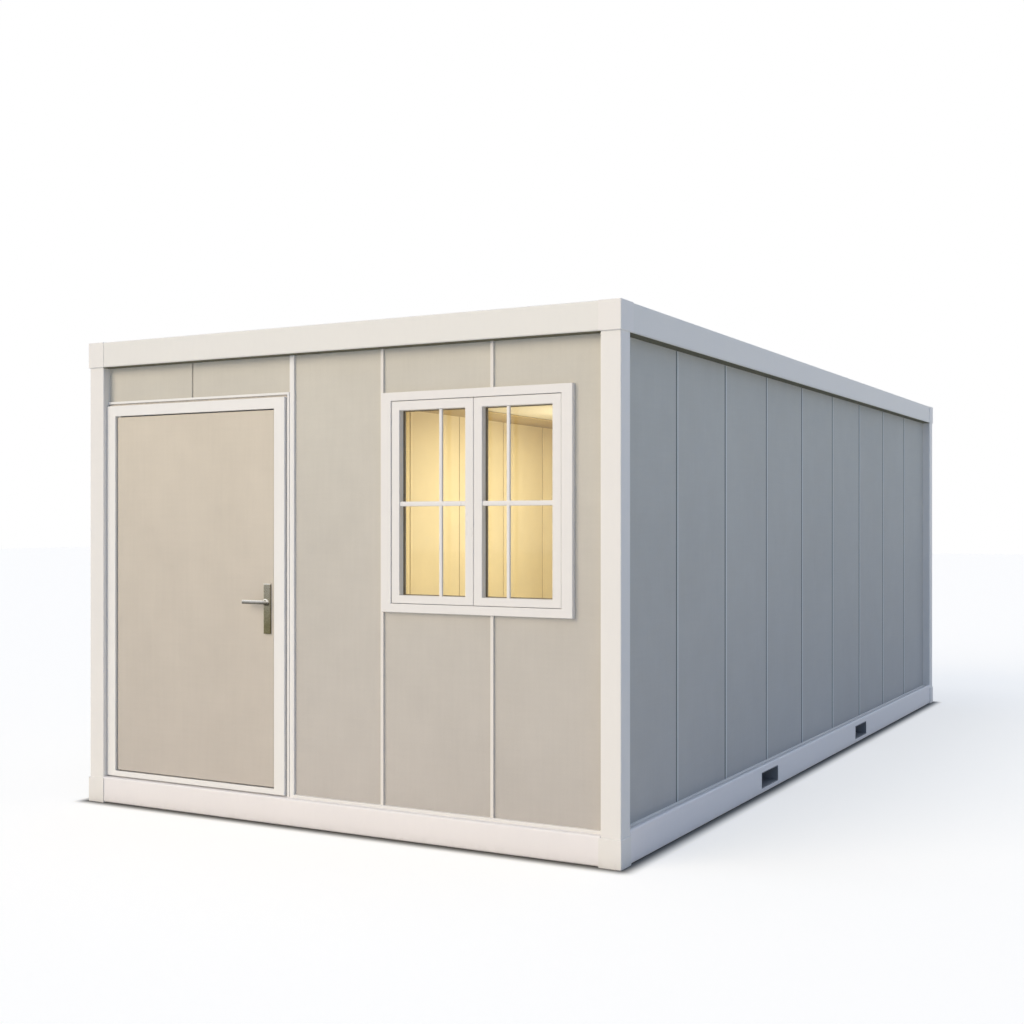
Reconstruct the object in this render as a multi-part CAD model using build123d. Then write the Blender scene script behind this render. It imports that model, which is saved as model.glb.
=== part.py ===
from build123d import *
import os

# A flat-pack cabin: four steel corner posts between corner blocks and caps, folded edge
# beams at the roof and the base, insulated wall panels that join by tongue and groove, a
# hinged door with a lever handle and a fixed two-sash window. Sizes in millimetres.
# The origin is the centre of the footprint at ground level. The door wall faces -Y.

# The whole cabin
WIDTH = 3060.0
LENGTH = 6220.0
HEIGHT = 2405.0

# Corner posts, blocks and caps
CORNER_WIDTH = 106.0
CORNER_LENGTH = 105.0
BLOCK_HEIGHT = 127.0
CAP_LENGTH = 131.0
CAP_HEIGHT = 131.0
CORNER_ROUND = 4.0
CORNER_BEVEL = 2.0
POST_WIDTH = 96.0
POST_LENGTH = 97.0
POST_SIDE_SET_IN = 4.0
POST_FRONT_SET_IN = 8.0
POST_ROUND = 5.0
POST_WALL = 3.0

# Base beams, the long ones with a raised lip along the outer edge of their ledge
BASE_SET_IN = 4.0
BASE_CLEAR_OF_GROUND = 3.0
BASE_TOP = 134.0
BASE_STEEL = 4.0
BASE_BEND = 7.0
BASE_FLANGE = 130.0
BASE_LOWER_FLANGE = 60.0
BASE_RETURN = 18.0
BASE_LIP_TOP = 150.0
BASE_LIP_WIDTH = 22.0

# Roof beams
ROOF_SET_IN = 2.0
ROOF_BELOW_CAP = 1.0
ROOF_STEEL = 3.0
ROOF_BEND = 5.0
ROOF_TOP_FLANGE = 62.0
ROOF_GUTTER_DEPTH = 40.0
ROOF_LEDGE = 30.0
ROOF_LOWER_FLANGE = 125.0

# Ribbed roof sheet
SHEET_STEEL = 3.0
SHEET_LAP = 24.0
SHEET_NOTCH_GAP = 1.0
RIB_PITCH = 420.0
RIB_HEIGHT = 24.0
RIB_FOOT = 78.0
RIB_CREST = 38.0

# Floor and ceiling
JOIST_WIDTH = 50.0
JOIST_STEEL = 3.0
JOIST_CLEAR_OF_GROUND = 24.0
DECK_THICKNESS = 20.0
DECK_GAP = 1.0
CEILING_THICKNESS = 12.0
CEILING_BEARING = 12.0

# Fork pockets through the long sides
POCKET_WIDTH = 277.0
POCKET_HEIGHT = 79.0
POCKET_TOP_BELOW_LEDGE = 22.0
POCKET_STEEL = 4.0
POCKET_SPACING = 1940.0
POCKET_SHIFT = -140.0

# Wall panels
WALL_SET_IN = 55.0
SIDE_SET_IN = 60.0
WALL_THICKNESS = 50.0
SIDE_PANELS = 9
REAR_PANELS = 4
JOINT_GAP = 5.0
JOINT_CHAMFER = 2.5
TONGUE_REACH = 14.0
TONGUE_THICKNESS = 16.0
TONGUE_FIT = 0.5

# Front wall: joints measured from the right-hand outer face, the mullion beside the door
# and the two panels over the door, of which the left-hand one has its own width
FRONT_JOINT = 649.0
WINDOW_JOINT = 1236.0
STRIP_WIDTH = 15.0
STRIP_PROUD = 10.0
STRIP_INNER_PROUD = 3.0
STRIP_WEB = 3.0
MULLION_WIDTH = 27.5
MULLION_PROUD = 12.0
TRANSOM_HEIGHT = 178.0
TRANSOM_LEFT_WIDTH = 565.0

# Base channels on the beams' ledge, against the wall's foot
CHANNEL_DEPTH_FRONT = 18.0
CHANNEL_DEPTH_SIDE = 14.0
CHANNEL_HEIGHT_FRONT = 14.0
CHANNEL_HEIGHT_SIDE = 13.0
CHANNEL_ROUND = 4.0

# Door frame and its surround, from the left-hand post and the transom downwards
FRAME_GAP = 3.0
FRAME_WIDTH = 1164.0
FRAME_JAMB_LEFT = 58.0
FRAME_JAMB_RIGHT = 65.0
FRAME_HEAD = 55.0
FRAME_SILL = 27.5
FRAME_SET_IN = 30.0
FRAME_EDGE = 3.0
STOP_GAP = 6.0
STOP_COVER = 9.0
SURROUND_SIDE = 20.5
SURROUND_HEAD = 24.0
SURROUND_SILL = 6.0
SURROUND_PROUD = 2.0
LIP_WIDTH = 11.5
LIP_PROUD = 12.0
LIP_GAP_SIDE = 8.0
LIP_GAP_HEAD = 11.0

# Door leaf
LEAF_GAP = 6.0
LEAF_THICKNESS = 40.0
LEAF_SET_BACK = 8.0
LEAF_EDGE = 2.0
PIVOT_INSET = 10.0
PIVOT_RADIUS = 4.5
PIVOT_LENGTH = 26.0
PIVOT_COLLAR_RADIUS = 8.0
PIVOT_COLLAR = 1.5
PIVOT_FIT = 0.1

# Handle
HANDLE_BACKSET = 35.0
SPINDLE_HEIGHT = 1075.0
PLATE_WIDTH = 38.0
PLATE_HEIGHT = 245.0
PLATE_BELOW_SPINDLE = 155.0
PLATE_THICKNESS = 12.0
PLATE_EDGE = 2.0
SPINDLE_RADIUS = 5.0
SPINDLE_FIT = 2.0
HUB_RADIUS = 14.0
HUB_NECK_RADIUS = 10.5
HUB_GAP = 0.5
LEVER_LENGTH = 122.0
LEVER_HEIGHT = 19.0
LEVER_THICKNESS = 12.0
LEVER_REACH = 50.0
LEVER_BEND = 13.0
LEVER_EDGE = 3.0

# Window
WINDOW_RIGHT = 243.0
WINDOW_WIDTH = 989.0
WINDOW_HEIGHT = 1016.0
WINDOW_BELOW_ROOF = 210.0
CASING_SIDE = 54.0
CASING_RAIL = 40.0
CASING_PROUD = 24.0
CASING_LAP = 33.0
CASING_CLEAR = 1.0
CASING_EDGE = 3.0
LINER_FIT = 1.0
SASH_GAP = 2.0
SASH_STILE = 43.0
SASH_HEAD = 43.0
SASH_RAIL = 37.0
SASH_SET_BACK = 4.0
SASH_DEPTH = 58.0
SASH_STOP = 10.0
SASH_EDGE = 3.0
GLASS_THICKNESS = 6.0
GLASS_SET_BACK = 45.0
GLASS_BITE = 8.0
GLASS_FIT = 0.5

# Worked out from the sizes above
HALF_WIDTH = WIDTH / 2
HALF_LENGTH = LENGTH / 2
ROOF_TOP = HEIGHT - ROOF_BELOW_CAP
ROOF_UNDERSIDE = HEIGHT - CAP_HEIGHT
WALL_HEIGHT = ROOF_UNDERSIDE - BASE_TOP
POST_INNER_X = POST_SIDE_SET_IN + POST_WIDTH
POST_INNER_Y = POST_FRONT_SET_IN + POST_LENGTH
FRONT_FACE = -HALF_LENGTH + WALL_SET_IN
FRAME_FACE = -HALF_LENGTH + FRAME_SET_IN
FRAME_BACK = FRONT_FACE + WALL_THICKNESS
LEAF_FACE = FRAME_FACE + LEAF_SET_BACK
POST_LEFT = WIDTH - POST_INNER_X
FRAME_LEFT = POST_LEFT - FRAME_GAP
FRAME_RIGHT = FRAME_LEFT - FRAME_WIDTH
MULLION_LEFT = FRAME_RIGHT - SURROUND_SIDE
MULLION_RIGHT = MULLION_LEFT - MULLION_WIDTH
TRANSOM_JOINT = POST_LEFT - TRANSOM_LEFT_WIDTH
SURROUND_TOP = ROOF_UNDERSIDE - TRANSOM_HEIGHT
FRAME_TOP = SURROUND_TOP - SURROUND_HEAD
FRAME_BOTTOM = BASE_TOP + SURROUND_SILL
DOOR_RIGHT = FRAME_RIGHT + FRAME_JAMB_RIGHT
DOOR_LEFT = FRAME_LEFT - FRAME_JAMB_LEFT
DOOR_BOTTOM = FRAME_BOTTOM + FRAME_SILL
DOOR_TOP = FRAME_TOP - FRAME_HEAD
POCKET_TOP = BASE_TOP - POCKET_TOP_BELOW_LEDGE
POCKET_BOTTOM = POCKET_TOP - POCKET_HEIGHT
POCKET_PLACES = [POCKET_SHIFT - POCKET_SPACING / 2, POCKET_SHIFT + POCKET_SPACING / 2]
WINDOW_LEFT = WINDOW_RIGHT + WINDOW_WIDTH
WINDOW_TOP = ROOF_UNDERSIDE - WINDOW_BELOW_ROOF
WINDOW_BOTTOM = WINDOW_TOP - WINDOW_HEIGHT
SIDE_INNER_X = HALF_WIDTH - SIDE_SET_IN - WALL_THICKNESS
REAR_INNER_Y = HALF_LENGTH - WALL_SET_IN - WALL_THICKNESS


def box(x_range, y_range, z_range):
    """A plain block between two values on each axis."""
    corner = [min(r) for r in (x_range, y_range, z_range)]
    sides = [abs(r[1] - r[0]) for r in (x_range, y_range, z_range)]
    return Pos(*corner) * Box(*sides, align=(Align.MIN, Align.MIN, Align.MIN))


def from_right(*distances):
    """The X of places on the front wall, measured from the right-hand outer face."""
    return [HALF_WIDTH - d for d in distances]


def folded(points, steel, bend):
    """The section of a folded sheet: its middle line with round bends, thickened."""
    return trace(FilletPolyline(*points, radius=bend), line_width=steel)


def ring(outer, inner, y_range):
    """An upright frame between two rectangles, each (x low, x high, z low, z high)."""
    around = box(outer[:2], y_range, outer[2:])
    return around - box(inner[:2], (y_range[0] - 1, y_range[1] + 1), inner[2:])


def grown(rectangle, by):
    """A rectangle (x low, x high, z low, z high) enlarged on every side."""
    x_low, x_high, z_low, z_high = rectangle
    return (x_low - by, x_high + by, z_low - by, z_high + by)


def front_edges(shape, y):
    """The edges of a shape that lie in the plane at y, for rounding its face."""
    return shape.edges().filter_by(lambda e: abs(e.bounding_box().min.Y - y) < 0.01
                                   and abs(e.bounding_box().max.Y - y) < 0.01)


def save(name, *solids):
    """Write one named piece, made of one or more solids that do not touch."""
    shape = solids[0] if len(solids) == 1 else Compound(children=list(solids))
    export_step(shape, f"parts/{name}.step")


def softened(block):
    """A front right-hand casting: its outer upright edge rounded, top and bottom bevelled."""
    upright = block.edges().filter_by(Axis.Z)
    rounded = fillet(upright.sort_by(Axis.X)[-2:].sort_by(Axis.Y)[:1], CORNER_ROUND)
    rims = rounded.faces().sort_by(Axis.Z)
    return chamfer(rims[0].edges() + rims[-1].edges(), CORNER_BEVEL)


def four_corners(name, shape):
    """Write a right-hand front piece and its mirror images at the other corners."""
    left = mirror(shape, about=Plane.YZ)
    save(f"{name}_front_right", shape)
    save(f"{name}_front_left", left)
    save(f"{name}_rear_right", mirror(shape, about=Plane.XZ))
    save(f"{name}_rear_left", mirror(left, about=Plane.XZ))


def corner_pieces():
    """The thick block at each foot, the cap at each head and the post between them."""
    x_outer, y_outer = HALF_WIDTH, -HALF_LENGTH
    block = box((x_outer - CORNER_WIDTH, x_outer), (y_outer, y_outer + CORNER_LENGTH),
                (0, BLOCK_HEIGHT))
    four_corners("corner_block", softened(block))
    cap = box((x_outer - CORNER_WIDTH, x_outer), (y_outer, y_outer + CAP_LENGTH),
              (ROOF_UNDERSIDE, HEIGHT))
    four_corners("corner_cap", softened(cap))
    middle = Pos(x_outer - POST_SIDE_SET_IN - POST_WIDTH / 2,
                 y_outer + POST_FRONT_SET_IN + POST_LENGTH / 2)
    hollow = Rectangle(POST_WIDTH - 2 * POST_WALL, POST_LENGTH - 2 * POST_WALL)
    section = RectangleRounded(POST_WIDTH, POST_LENGTH, POST_ROUND) - hollow
    post = extrude(middle * section, amount=ROOF_UNDERSIDE - BLOCK_HEIGHT)
    four_corners("corner_post", Pos(0, 0, BLOCK_HEIGHT) * post)


def upright_leg(across, low, high, steel):
    """A straight upright leg of a section, centred at one place across."""
    return Pos(across, (low + high) / 2) * Rectangle(steel, high - low)


def base_section(place, lip=False):
    """A base beam's folded section, with or without the raised lip; place gives the axis
    value at a depth from outside."""
    half = BASE_STEEL / 2
    face = BASE_SET_IN + half
    low, high = BASE_CLEAR_OF_GROUND + half, BASE_TOP - half
    outer = [(place(face), high)]
    if lip:
        crest, inner = BASE_LIP_TOP - half, BASE_SET_IN + BASE_LIP_WIDTH - half
        outer = [(place(face), crest), (place(inner), crest), (place(inner), high)]
    points = [(place(BASE_LOWER_FLANGE), low), (place(face), low), *outer, (place(BASE_FLANGE), high)]
    section = folded(points, BASE_STEEL, BASE_BEND)
    section += upright_leg(place(BASE_LOWER_FLANGE), low - half, low + BASE_RETURN, BASE_STEEL)
    return section + upright_leg(place(BASE_FLANGE), high - BASE_RETURN, high + half, BASE_STEEL)


def roof_section(place):
    """A roof beam's folded section, with a ledge for the roof sheet inside its top."""
    half = ROOF_STEEL / 2
    low, high = ROOF_UNDERSIDE + half, ROOF_TOP - half
    ledge = high - ROOF_GUTTER_DEPTH
    points = [
        (place(ROOF_TOP_FLANGE), high),
        (place(ROOF_SET_IN + half), high),
        (place(ROOF_SET_IN + half), low),
        (place(ROOF_LOWER_FLANGE), low),
    ]
    section = folded(points, ROOF_STEEL, ROOF_BEND)
    section += upright_leg(place(ROOF_TOP_FLANGE), ledge - half, high + half, ROOF_STEEL)
    reach = ROOF_LEDGE + half
    middle = place(ROOF_TOP_FLANGE - half + reach / 2)
    return section + Pos(middle, ledge) * Rectangle(reach, ROOF_STEEL)


def from_side(depth):
    """The X at a depth inside the right-hand outer face."""
    return HALF_WIDTH - depth


def from_front(depth):
    """The Y at a depth inside the front outer face."""
    return -HALF_LENGTH + depth


def along_y(section, y_start, y_end):
    """A section drawn in X and Z, drawn out from one Y to another."""
    return extrude(Plane.XZ.offset(-y_end) * section, amount=y_end - y_start)


def side_base_beams():
    """The long base beams: full sections between the fork pockets, bridged over and under them."""
    section = base_section(from_side, lip=True)
    reach = POCKET_WIDTH / 2 + POCKET_STEEL
    ends = [-HALF_LENGTH + CORNER_LENGTH]
    bridges = []
    for y in POCKET_PLACES:
        ends += [y - reach, y + reach]
        whole = along_y(section, y - reach, y + reach)
        over = box((0, HALF_WIDTH), (y - reach, y + reach), (POCKET_TOP + POCKET_STEEL, BASE_LIP_TOP))
        under = box((0, HALF_WIDTH), (y - reach, y + reach), (0, POCKET_BOTTOM - POCKET_STEEL))
        bridges += [whole & over, whole & under]
    ends.append(HALF_LENGTH - CORNER_LENGTH)
    spans = [along_y(section, start, end) for start, end in zip(ends[::2], ends[1::2])]
    save("base_beam_right", *spans)
    save("base_beam_left", *[mirror(span, about=Plane.YZ) for span in spans])
    save("pocket_bridges", *bridges, *[mirror(bridge, about=Plane.YZ) for bridge in bridges])


def end_base_beams():
    """The short base beams, cut off at the corner blocks and where the long ones pass."""
    beam = extrude(Plane.YZ * base_section(from_front), amount=HALF_WIDTH - POST_INNER_X, both=True)
    side_inner = HALF_WIDTH - BASE_FLANGE - BASE_STEEL
    beyond = box((side_inner, HALF_WIDTH), (-HALF_LENGTH + CORNER_LENGTH, 0), (0, BASE_LIP_TOP))
    beyond += box((HALF_WIDTH - CORNER_WIDTH, HALF_WIDTH), (-HALF_LENGTH, 0), (0, BLOCK_HEIGHT))
    beam = beam - beyond - mirror(beyond, about=Plane.YZ)
    save("base_beam_front", beam)
    save("base_beam_rear", mirror(beam, about=Plane.XZ))


def roof_beams():
    """The roof's edge beams between the corner caps."""
    side = along_y(roof_section(from_side), -HALF_LENGTH + CAP_LENGTH, HALF_LENGTH - CAP_LENGTH)
    save("roof_beam_right", side)
    save("roof_beam_left", mirror(side, about=Plane.YZ))
    end = extrude(Plane.YZ * roof_section(from_front), amount=HALF_WIDTH - CORNER_WIDTH, both=True)
    save("roof_beam_front", end)
    save("roof_beam_rear", mirror(end, about=Plane.XZ))


def fork_pockets():
    """Two rectangular steel sleeves that run from one long side to the other."""
    reach = HALF_WIDTH - BASE_SET_IN
    half = POCKET_WIDTH / 2
    sides, covers = [], []
    for y in POCKET_PLACES:
        for edge in (y - half - POCKET_STEEL, y + half):
            sides.append(box((-reach, reach), (edge, edge + POCKET_STEEL), (POCKET_BOTTOM, POCKET_TOP)))
        for level in (POCKET_BOTTOM - POCKET_STEEL, POCKET_TOP):
            covers.append(box((-reach, reach), (y - half - POCKET_STEEL, y + half + POCKET_STEEL),
                              (level, level + POCKET_STEEL)))
    save("pocket_sides", *sides)
    save("pocket_covers", *covers)


def floor_and_roof():
    """Joists under the deck, the ceiling lining and the ribbed roof sheet."""
    half = JOIST_STEEL / 2
    low, high = JOIST_CLEAR_OF_GROUND + half, BASE_TOP - half
    points = [
        (JOIST_WIDTH / 2 - half, high), (-JOIST_WIDTH / 2 + half, high),
        (-JOIST_WIDTH / 2 + half, low), (JOIST_WIDTH / 2 - half, low),
    ]
    reach = HALF_WIDTH - BASE_FLANGE - BASE_STEEL / 2
    section = trace(Polyline(*points), line_width=JOIST_STEEL)
    joist = extrude(Plane.YZ * section, amount=reach, both=True)
    first = -HALF_LENGTH + POST_INNER_Y
    pitch = -2 * first / SIDE_PANELS
    places = [first + pitch * k for k in range(1, SIDE_PANELS)]
    blocked = POCKET_WIDTH / 2 + POCKET_STEEL + JOIST_WIDTH
    free = [y for y in places if all(abs(y - p) > blocked for p in POCKET_PLACES)]
    save("floor_joists", *[Pos(0, y) * joist for y in free])
    edge_gap = STRIP_INNER_PROUD + DECK_GAP
    deck_x, deck_y = SIDE_INNER_X - edge_gap, REAR_INNER_Y - edge_gap
    save("floor_deck", box((-deck_x, deck_x), (-deck_y, deck_y), (BASE_TOP, BASE_TOP + DECK_THICKNESS)))
    ceiling_x = HALF_WIDTH - ROOF_LOWER_FLANGE + CEILING_BEARING
    ceiling_y = HALF_LENGTH - ROOF_LOWER_FLANGE + CEILING_BEARING
    ceiling_z = ROOF_UNDERSIDE + ROOF_STEEL
    save("ceiling", box((-ceiling_x, ceiling_x), (-ceiling_y, ceiling_y),
                        (ceiling_z, ceiling_z + CEILING_THICKNESS)))
    ledge_top = ROOF_TOP - ROOF_GUTTER_DEPTH
    save("roof_sheet", Pos(0, 0, ledge_top) * ribbed_sheet())


def ribbed_sheet():
    """A trapezoid-ribbed sheet: one wavy outline and its copy below, drawn across Y."""
    reach_y = HALF_LENGTH - ROOF_TOP_FLANGE - ROOF_LEDGE + SHEET_LAP
    reach_x = HALF_WIDTH - ROOF_TOP_FLANGE - ROOF_LEDGE + SHEET_LAP
    count = int((2 * reach_y - RIB_FOOT) // RIB_PITCH) + 1
    first = -RIB_PITCH * (count - 1) / 2
    line = [(-reach_y, 0)]
    for k in range(count):
        middle = first + k * RIB_PITCH
        line += [(middle - RIB_FOOT / 2, 0), (middle - RIB_CREST / 2, RIB_HEIGHT)]
        line += [(middle + RIB_CREST / 2, RIB_HEIGHT), (middle + RIB_FOOT / 2, 0)]
    line.append((reach_y, 0))
    upper = [(y, z + SHEET_STEEL) for y, z in reversed(line)]
    section = make_face(Polyline(*line, *upper, close=True))
    sheet = extrude(Plane.YZ * section, amount=reach_x, both=True)
    notch_x = HALF_WIDTH - CORNER_WIDTH - SHEET_NOTCH_GAP
    notch_y = HALF_LENGTH - CAP_LENGTH - SHEET_NOTCH_GAP
    for x_sign in (-1, 1):
        for y_sign in (-1, 1):
            sheet -= box((x_sign * notch_x, x_sign * HALF_WIDTH), (y_sign * notch_y, y_sign * HALF_LENGTH),
                         (-1, CAP_HEIGHT))
    return sheet


def panel(start, end, groove=False, tongue=False, height=WALL_HEIGHT):
    """One wall panel in its own frame: along X from start to end, outer face at Y 0."""
    section = Pos((start + end) / 2, WALL_THICKNESS / 2) * Rectangle(end - start, WALL_THICKNESS)
    joint_ends = ([start] if groove else []) + ([end] if tongue else [])
    corners = [v for v in section.vertices() if any(abs(v.X - x) < 0.01 for x in joint_ends)]
    if corners:
        section = chamfer(corners, JOINT_CHAMFER)
    if tongue:
        tip = Rectangle(TONGUE_REACH, TONGUE_THICKNESS)
        section += Pos(end + TONGUE_REACH / 2, WALL_THICKNESS / 2) * tip
    if groove:
        depth = TONGUE_REACH - JOINT_GAP + TONGUE_FIT
        mouth = Rectangle(depth, TONGUE_THICKNESS + 2 * TONGUE_FIT)
        section -= Pos(start + depth / 2, WALL_THICKNESS / 2) * mouth
    return extrude(section, amount=height)


def panel_row(length, count):
    """Equal panels centred on X 0, each tongue in the next one's groove."""
    pitch = length / count
    row = []
    for k in range(count):
        start = -length / 2 + k * pitch + (JOINT_GAP / 2 if k > 0 else 0)
        end = -length / 2 + (k + 1) * pitch - (JOINT_GAP / 2 if k < count - 1 else 0)
        row.append(panel(start, end, groove=k > 0, tongue=k < count - 1))
    return row


def plain_walls():
    """The two long walls and the rear wall, each a row of panels on the base beams."""
    side_length = LENGTH - 2 * POST_INNER_Y
    for name, turn in (("wall_right", 90), ("wall_left", -90)):
        place = Rot(0, 0, turn) * Pos(0, -HALF_WIDTH + SIDE_SET_IN, BASE_TOP)
        save(name, *[place * p for p in panel_row(side_length, SIDE_PANELS)])
    rear_length = WIDTH - 2 * POST_INNER_X
    place = Rot(0, 0, 180) * Pos(0, -HALF_LENGTH + WALL_SET_IN, BASE_TOP)
    save("wall_rear", *[place * p for p in panel_row(rear_length, REAR_PANELS)])


def window_hole():
    """The rectangle cut in the wall for the window, clear of its liner."""
    x_high, x_low = from_right(WINDOW_RIGHT + CASING_LAP, WINDOW_LEFT - CASING_LAP)
    return (x_low, x_high, WINDOW_BOTTOM + CASING_LAP, WINDOW_TOP - CASING_LAP)


def front_wall():
    """The front wall's panels, the joint strips between them and the mullion at the door."""
    hole = window_hole()
    hole_block = box(hole[:2], (FRONT_FACE - 1, FRAME_BACK + 1), hole[2:])
    half_web = STRIP_WEB / 2
    place = Pos(0, FRONT_FACE, BASE_TOP)
    edges = {
        "front_panel_right": (POST_INNER_X, FRONT_JOINT - half_web),
        "front_panel_middle": (FRONT_JOINT + half_web, WINDOW_JOINT - half_web),
        "front_panel_centre": (WINDOW_JOINT + half_web, MULLION_RIGHT),
    }
    walls = {}
    for name, (right, left) in edges.items():
        x_high, x_low = from_right(right, left)
        walls[name] = place * panel(x_low, x_high) - hole_block
    save("front_panel_right", walls["front_panel_right"])
    save("front_panel_middle", walls["front_panel_middle"])
    save("front_panel_centre", walls["front_panel_centre"])
    lower, upper = SURROUND_TOP, ROOF_UNDERSIDE
    x_right, x_joint, x_left = from_right(MULLION_LEFT, TRANSOM_JOINT, POST_LEFT)
    over = Pos(0, FRONT_FACE, lower)
    save("panels_over_door",
         over * panel(x_left, x_joint - JOINT_GAP / 2, tongue=True, height=upper - lower),
         over * panel(x_joint + JOINT_GAP / 2, x_right, groove=True, height=upper - lower))
    spans = [
        (FRONT_JOINT, BASE_TOP, WINDOW_BOTTOM - CASING_CLEAR),
        (FRONT_JOINT, WINDOW_TOP + CASING_CLEAR, ROOF_UNDERSIDE),
        (WINDOW_JOINT, BASE_TOP, ROOF_UNDERSIDE),
    ]
    x_window = from_right(WINDOW_RIGHT - CASING_CLEAR, WINDOW_LEFT + CASING_CLEAR)
    casing = box(x_window, (FRONT_FACE - STRIP_PROUD - 1, FRONT_FACE),
                 (WINDOW_BOTTOM - CASING_CLEAR, WINDOW_TOP + CASING_CLEAR))
    save("front_joint_strips", *[joint_strip(*span) - casing for span in spans])
    x_high, x_low = from_right(MULLION_RIGHT, MULLION_LEFT)
    mullion = box((x_low, x_high), (FRONT_FACE - MULLION_PROUD, FRAME_BACK), (BASE_TOP, ROOF_UNDERSIDE))
    outer = front_edges(mullion, FRONT_FACE - MULLION_PROUD).filter_by(Axis.Z)
    save("door_mullion", fillet(outer, FRAME_EDGE))


def joint_strip(place, bottom, top):
    """An H-shaped strip: a cap on each side of the wall and the web between two panels."""
    x = HALF_WIDTH - place
    web = Pos(x, (FRONT_FACE + FRAME_BACK) / 2) * Rectangle(STRIP_WEB, WALL_THICKNESS)
    outer = Pos(x, FRONT_FACE - STRIP_PROUD / 2) * Rectangle(STRIP_WIDTH, STRIP_PROUD)
    inner = Pos(x, FRAME_BACK + STRIP_INNER_PROUD / 2) * Rectangle(STRIP_WIDTH, STRIP_INNER_PROUD)
    return Pos(0, 0, bottom) * extrude(web + outer + inner, amount=top - bottom)


def channel_bar(reach, set_in, depth, height):
    """A bar on the rear ledge against a wall's foot, its outer top edge rounded."""
    y_wall = HALF_LENGTH - set_in
    bar = box((-reach, reach), (y_wall, y_wall + depth), (BASE_TOP, BASE_TOP + height))
    outer_top = bar.edges().filter_by(Axis.X).sort_by(Axis.Z)[-2:].sort_by(Axis.Y)[-1:]
    return fillet(outer_top, CHANNEL_ROUND)


def base_channels():
    """Small channels on the base ledge, against the foot of each wall up to the door."""
    rear = channel_bar(HALF_WIDTH - POST_INNER_X, WALL_SET_IN, CHANNEL_DEPTH_FRONT,
                       CHANNEL_HEIGHT_FRONT)
    front = mirror(rear, about=Plane.XZ)
    front -= box((-HALF_WIDTH, HALF_WIDTH - MULLION_RIGHT), (-HALF_LENGTH, 0), (BASE_TOP, HEIGHT))
    for x in from_right(FRONT_JOINT, WINDOW_JOINT):
        front -= box((x - STRIP_WIDTH / 2, x + STRIP_WIDTH / 2), (FRONT_FACE - STRIP_PROUD, FRONT_FACE),
                     (BASE_TOP, HEIGHT))
    side_shift = HALF_WIDTH - HALF_LENGTH
    side = channel_bar(HALF_LENGTH - POST_INNER_Y, SIDE_SET_IN, CHANNEL_DEPTH_SIDE,
                       CHANNEL_HEIGHT_SIDE)
    left = Rot(0, 0, 90) * Pos(0, side_shift, 0) * side
    save("base_channels", rear, front, left, mirror(left, about=Plane.YZ))


def door_frame():
    """The frame with its stop, and the lipped surround between frame and wall."""
    x_high, x_low = from_right(FRAME_RIGHT, FRAME_LEFT)
    outer = (x_low, x_high, FRAME_BOTTOM, FRAME_TOP)
    opening = (x_low + FRAME_JAMB_LEFT, x_high - FRAME_JAMB_RIGHT, DOOR_BOTTOM, DOOR_TOP)
    stop_front = LEAF_FACE + LEAF_THICKNESS + STOP_GAP
    frame = ring(outer, opening, (FRAME_FACE, stop_front))
    frame = fillet(front_edges(frame, FRAME_FACE), FRAME_EDGE)
    cover = LEAF_GAP + STOP_COVER
    frame += ring(outer, grown(opening, -cover), (stop_front, FRAME_BACK))
    save("door_frame", frame)
    x_right, x_left = from_right(MULLION_LEFT, POST_LEFT)
    whole = (x_left, x_right, BASE_TOP, SURROUND_TOP)
    surround = ring(whole, outer, (FRONT_FACE - SURROUND_PROUD, FRAME_BACK))
    lip_right, lip_level = x_high + LIP_GAP_SIDE, FRAME_TOP + LIP_GAP_HEAD
    lip_outer = (x_left, lip_right + LIP_WIDTH, BASE_TOP, lip_level + LIP_WIDTH)
    lip_inner = (x_left - 1, lip_right, BASE_TOP - 1, lip_level)
    lip_face = FRONT_FACE - SURROUND_PROUD - LIP_PROUD
    lip = ring(lip_outer, lip_inner, (lip_face, FRONT_FACE))
    surround += lip
    save("door_surround", surround)


def pivot_axis():
    """The X and Y of the door's upright pivot line, near the leaf's outer left corner."""
    x = HALF_WIDTH - DOOR_LEFT + LEAF_GAP + PIVOT_INSET
    return x, LEAF_FACE + PIVOT_INSET


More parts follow.
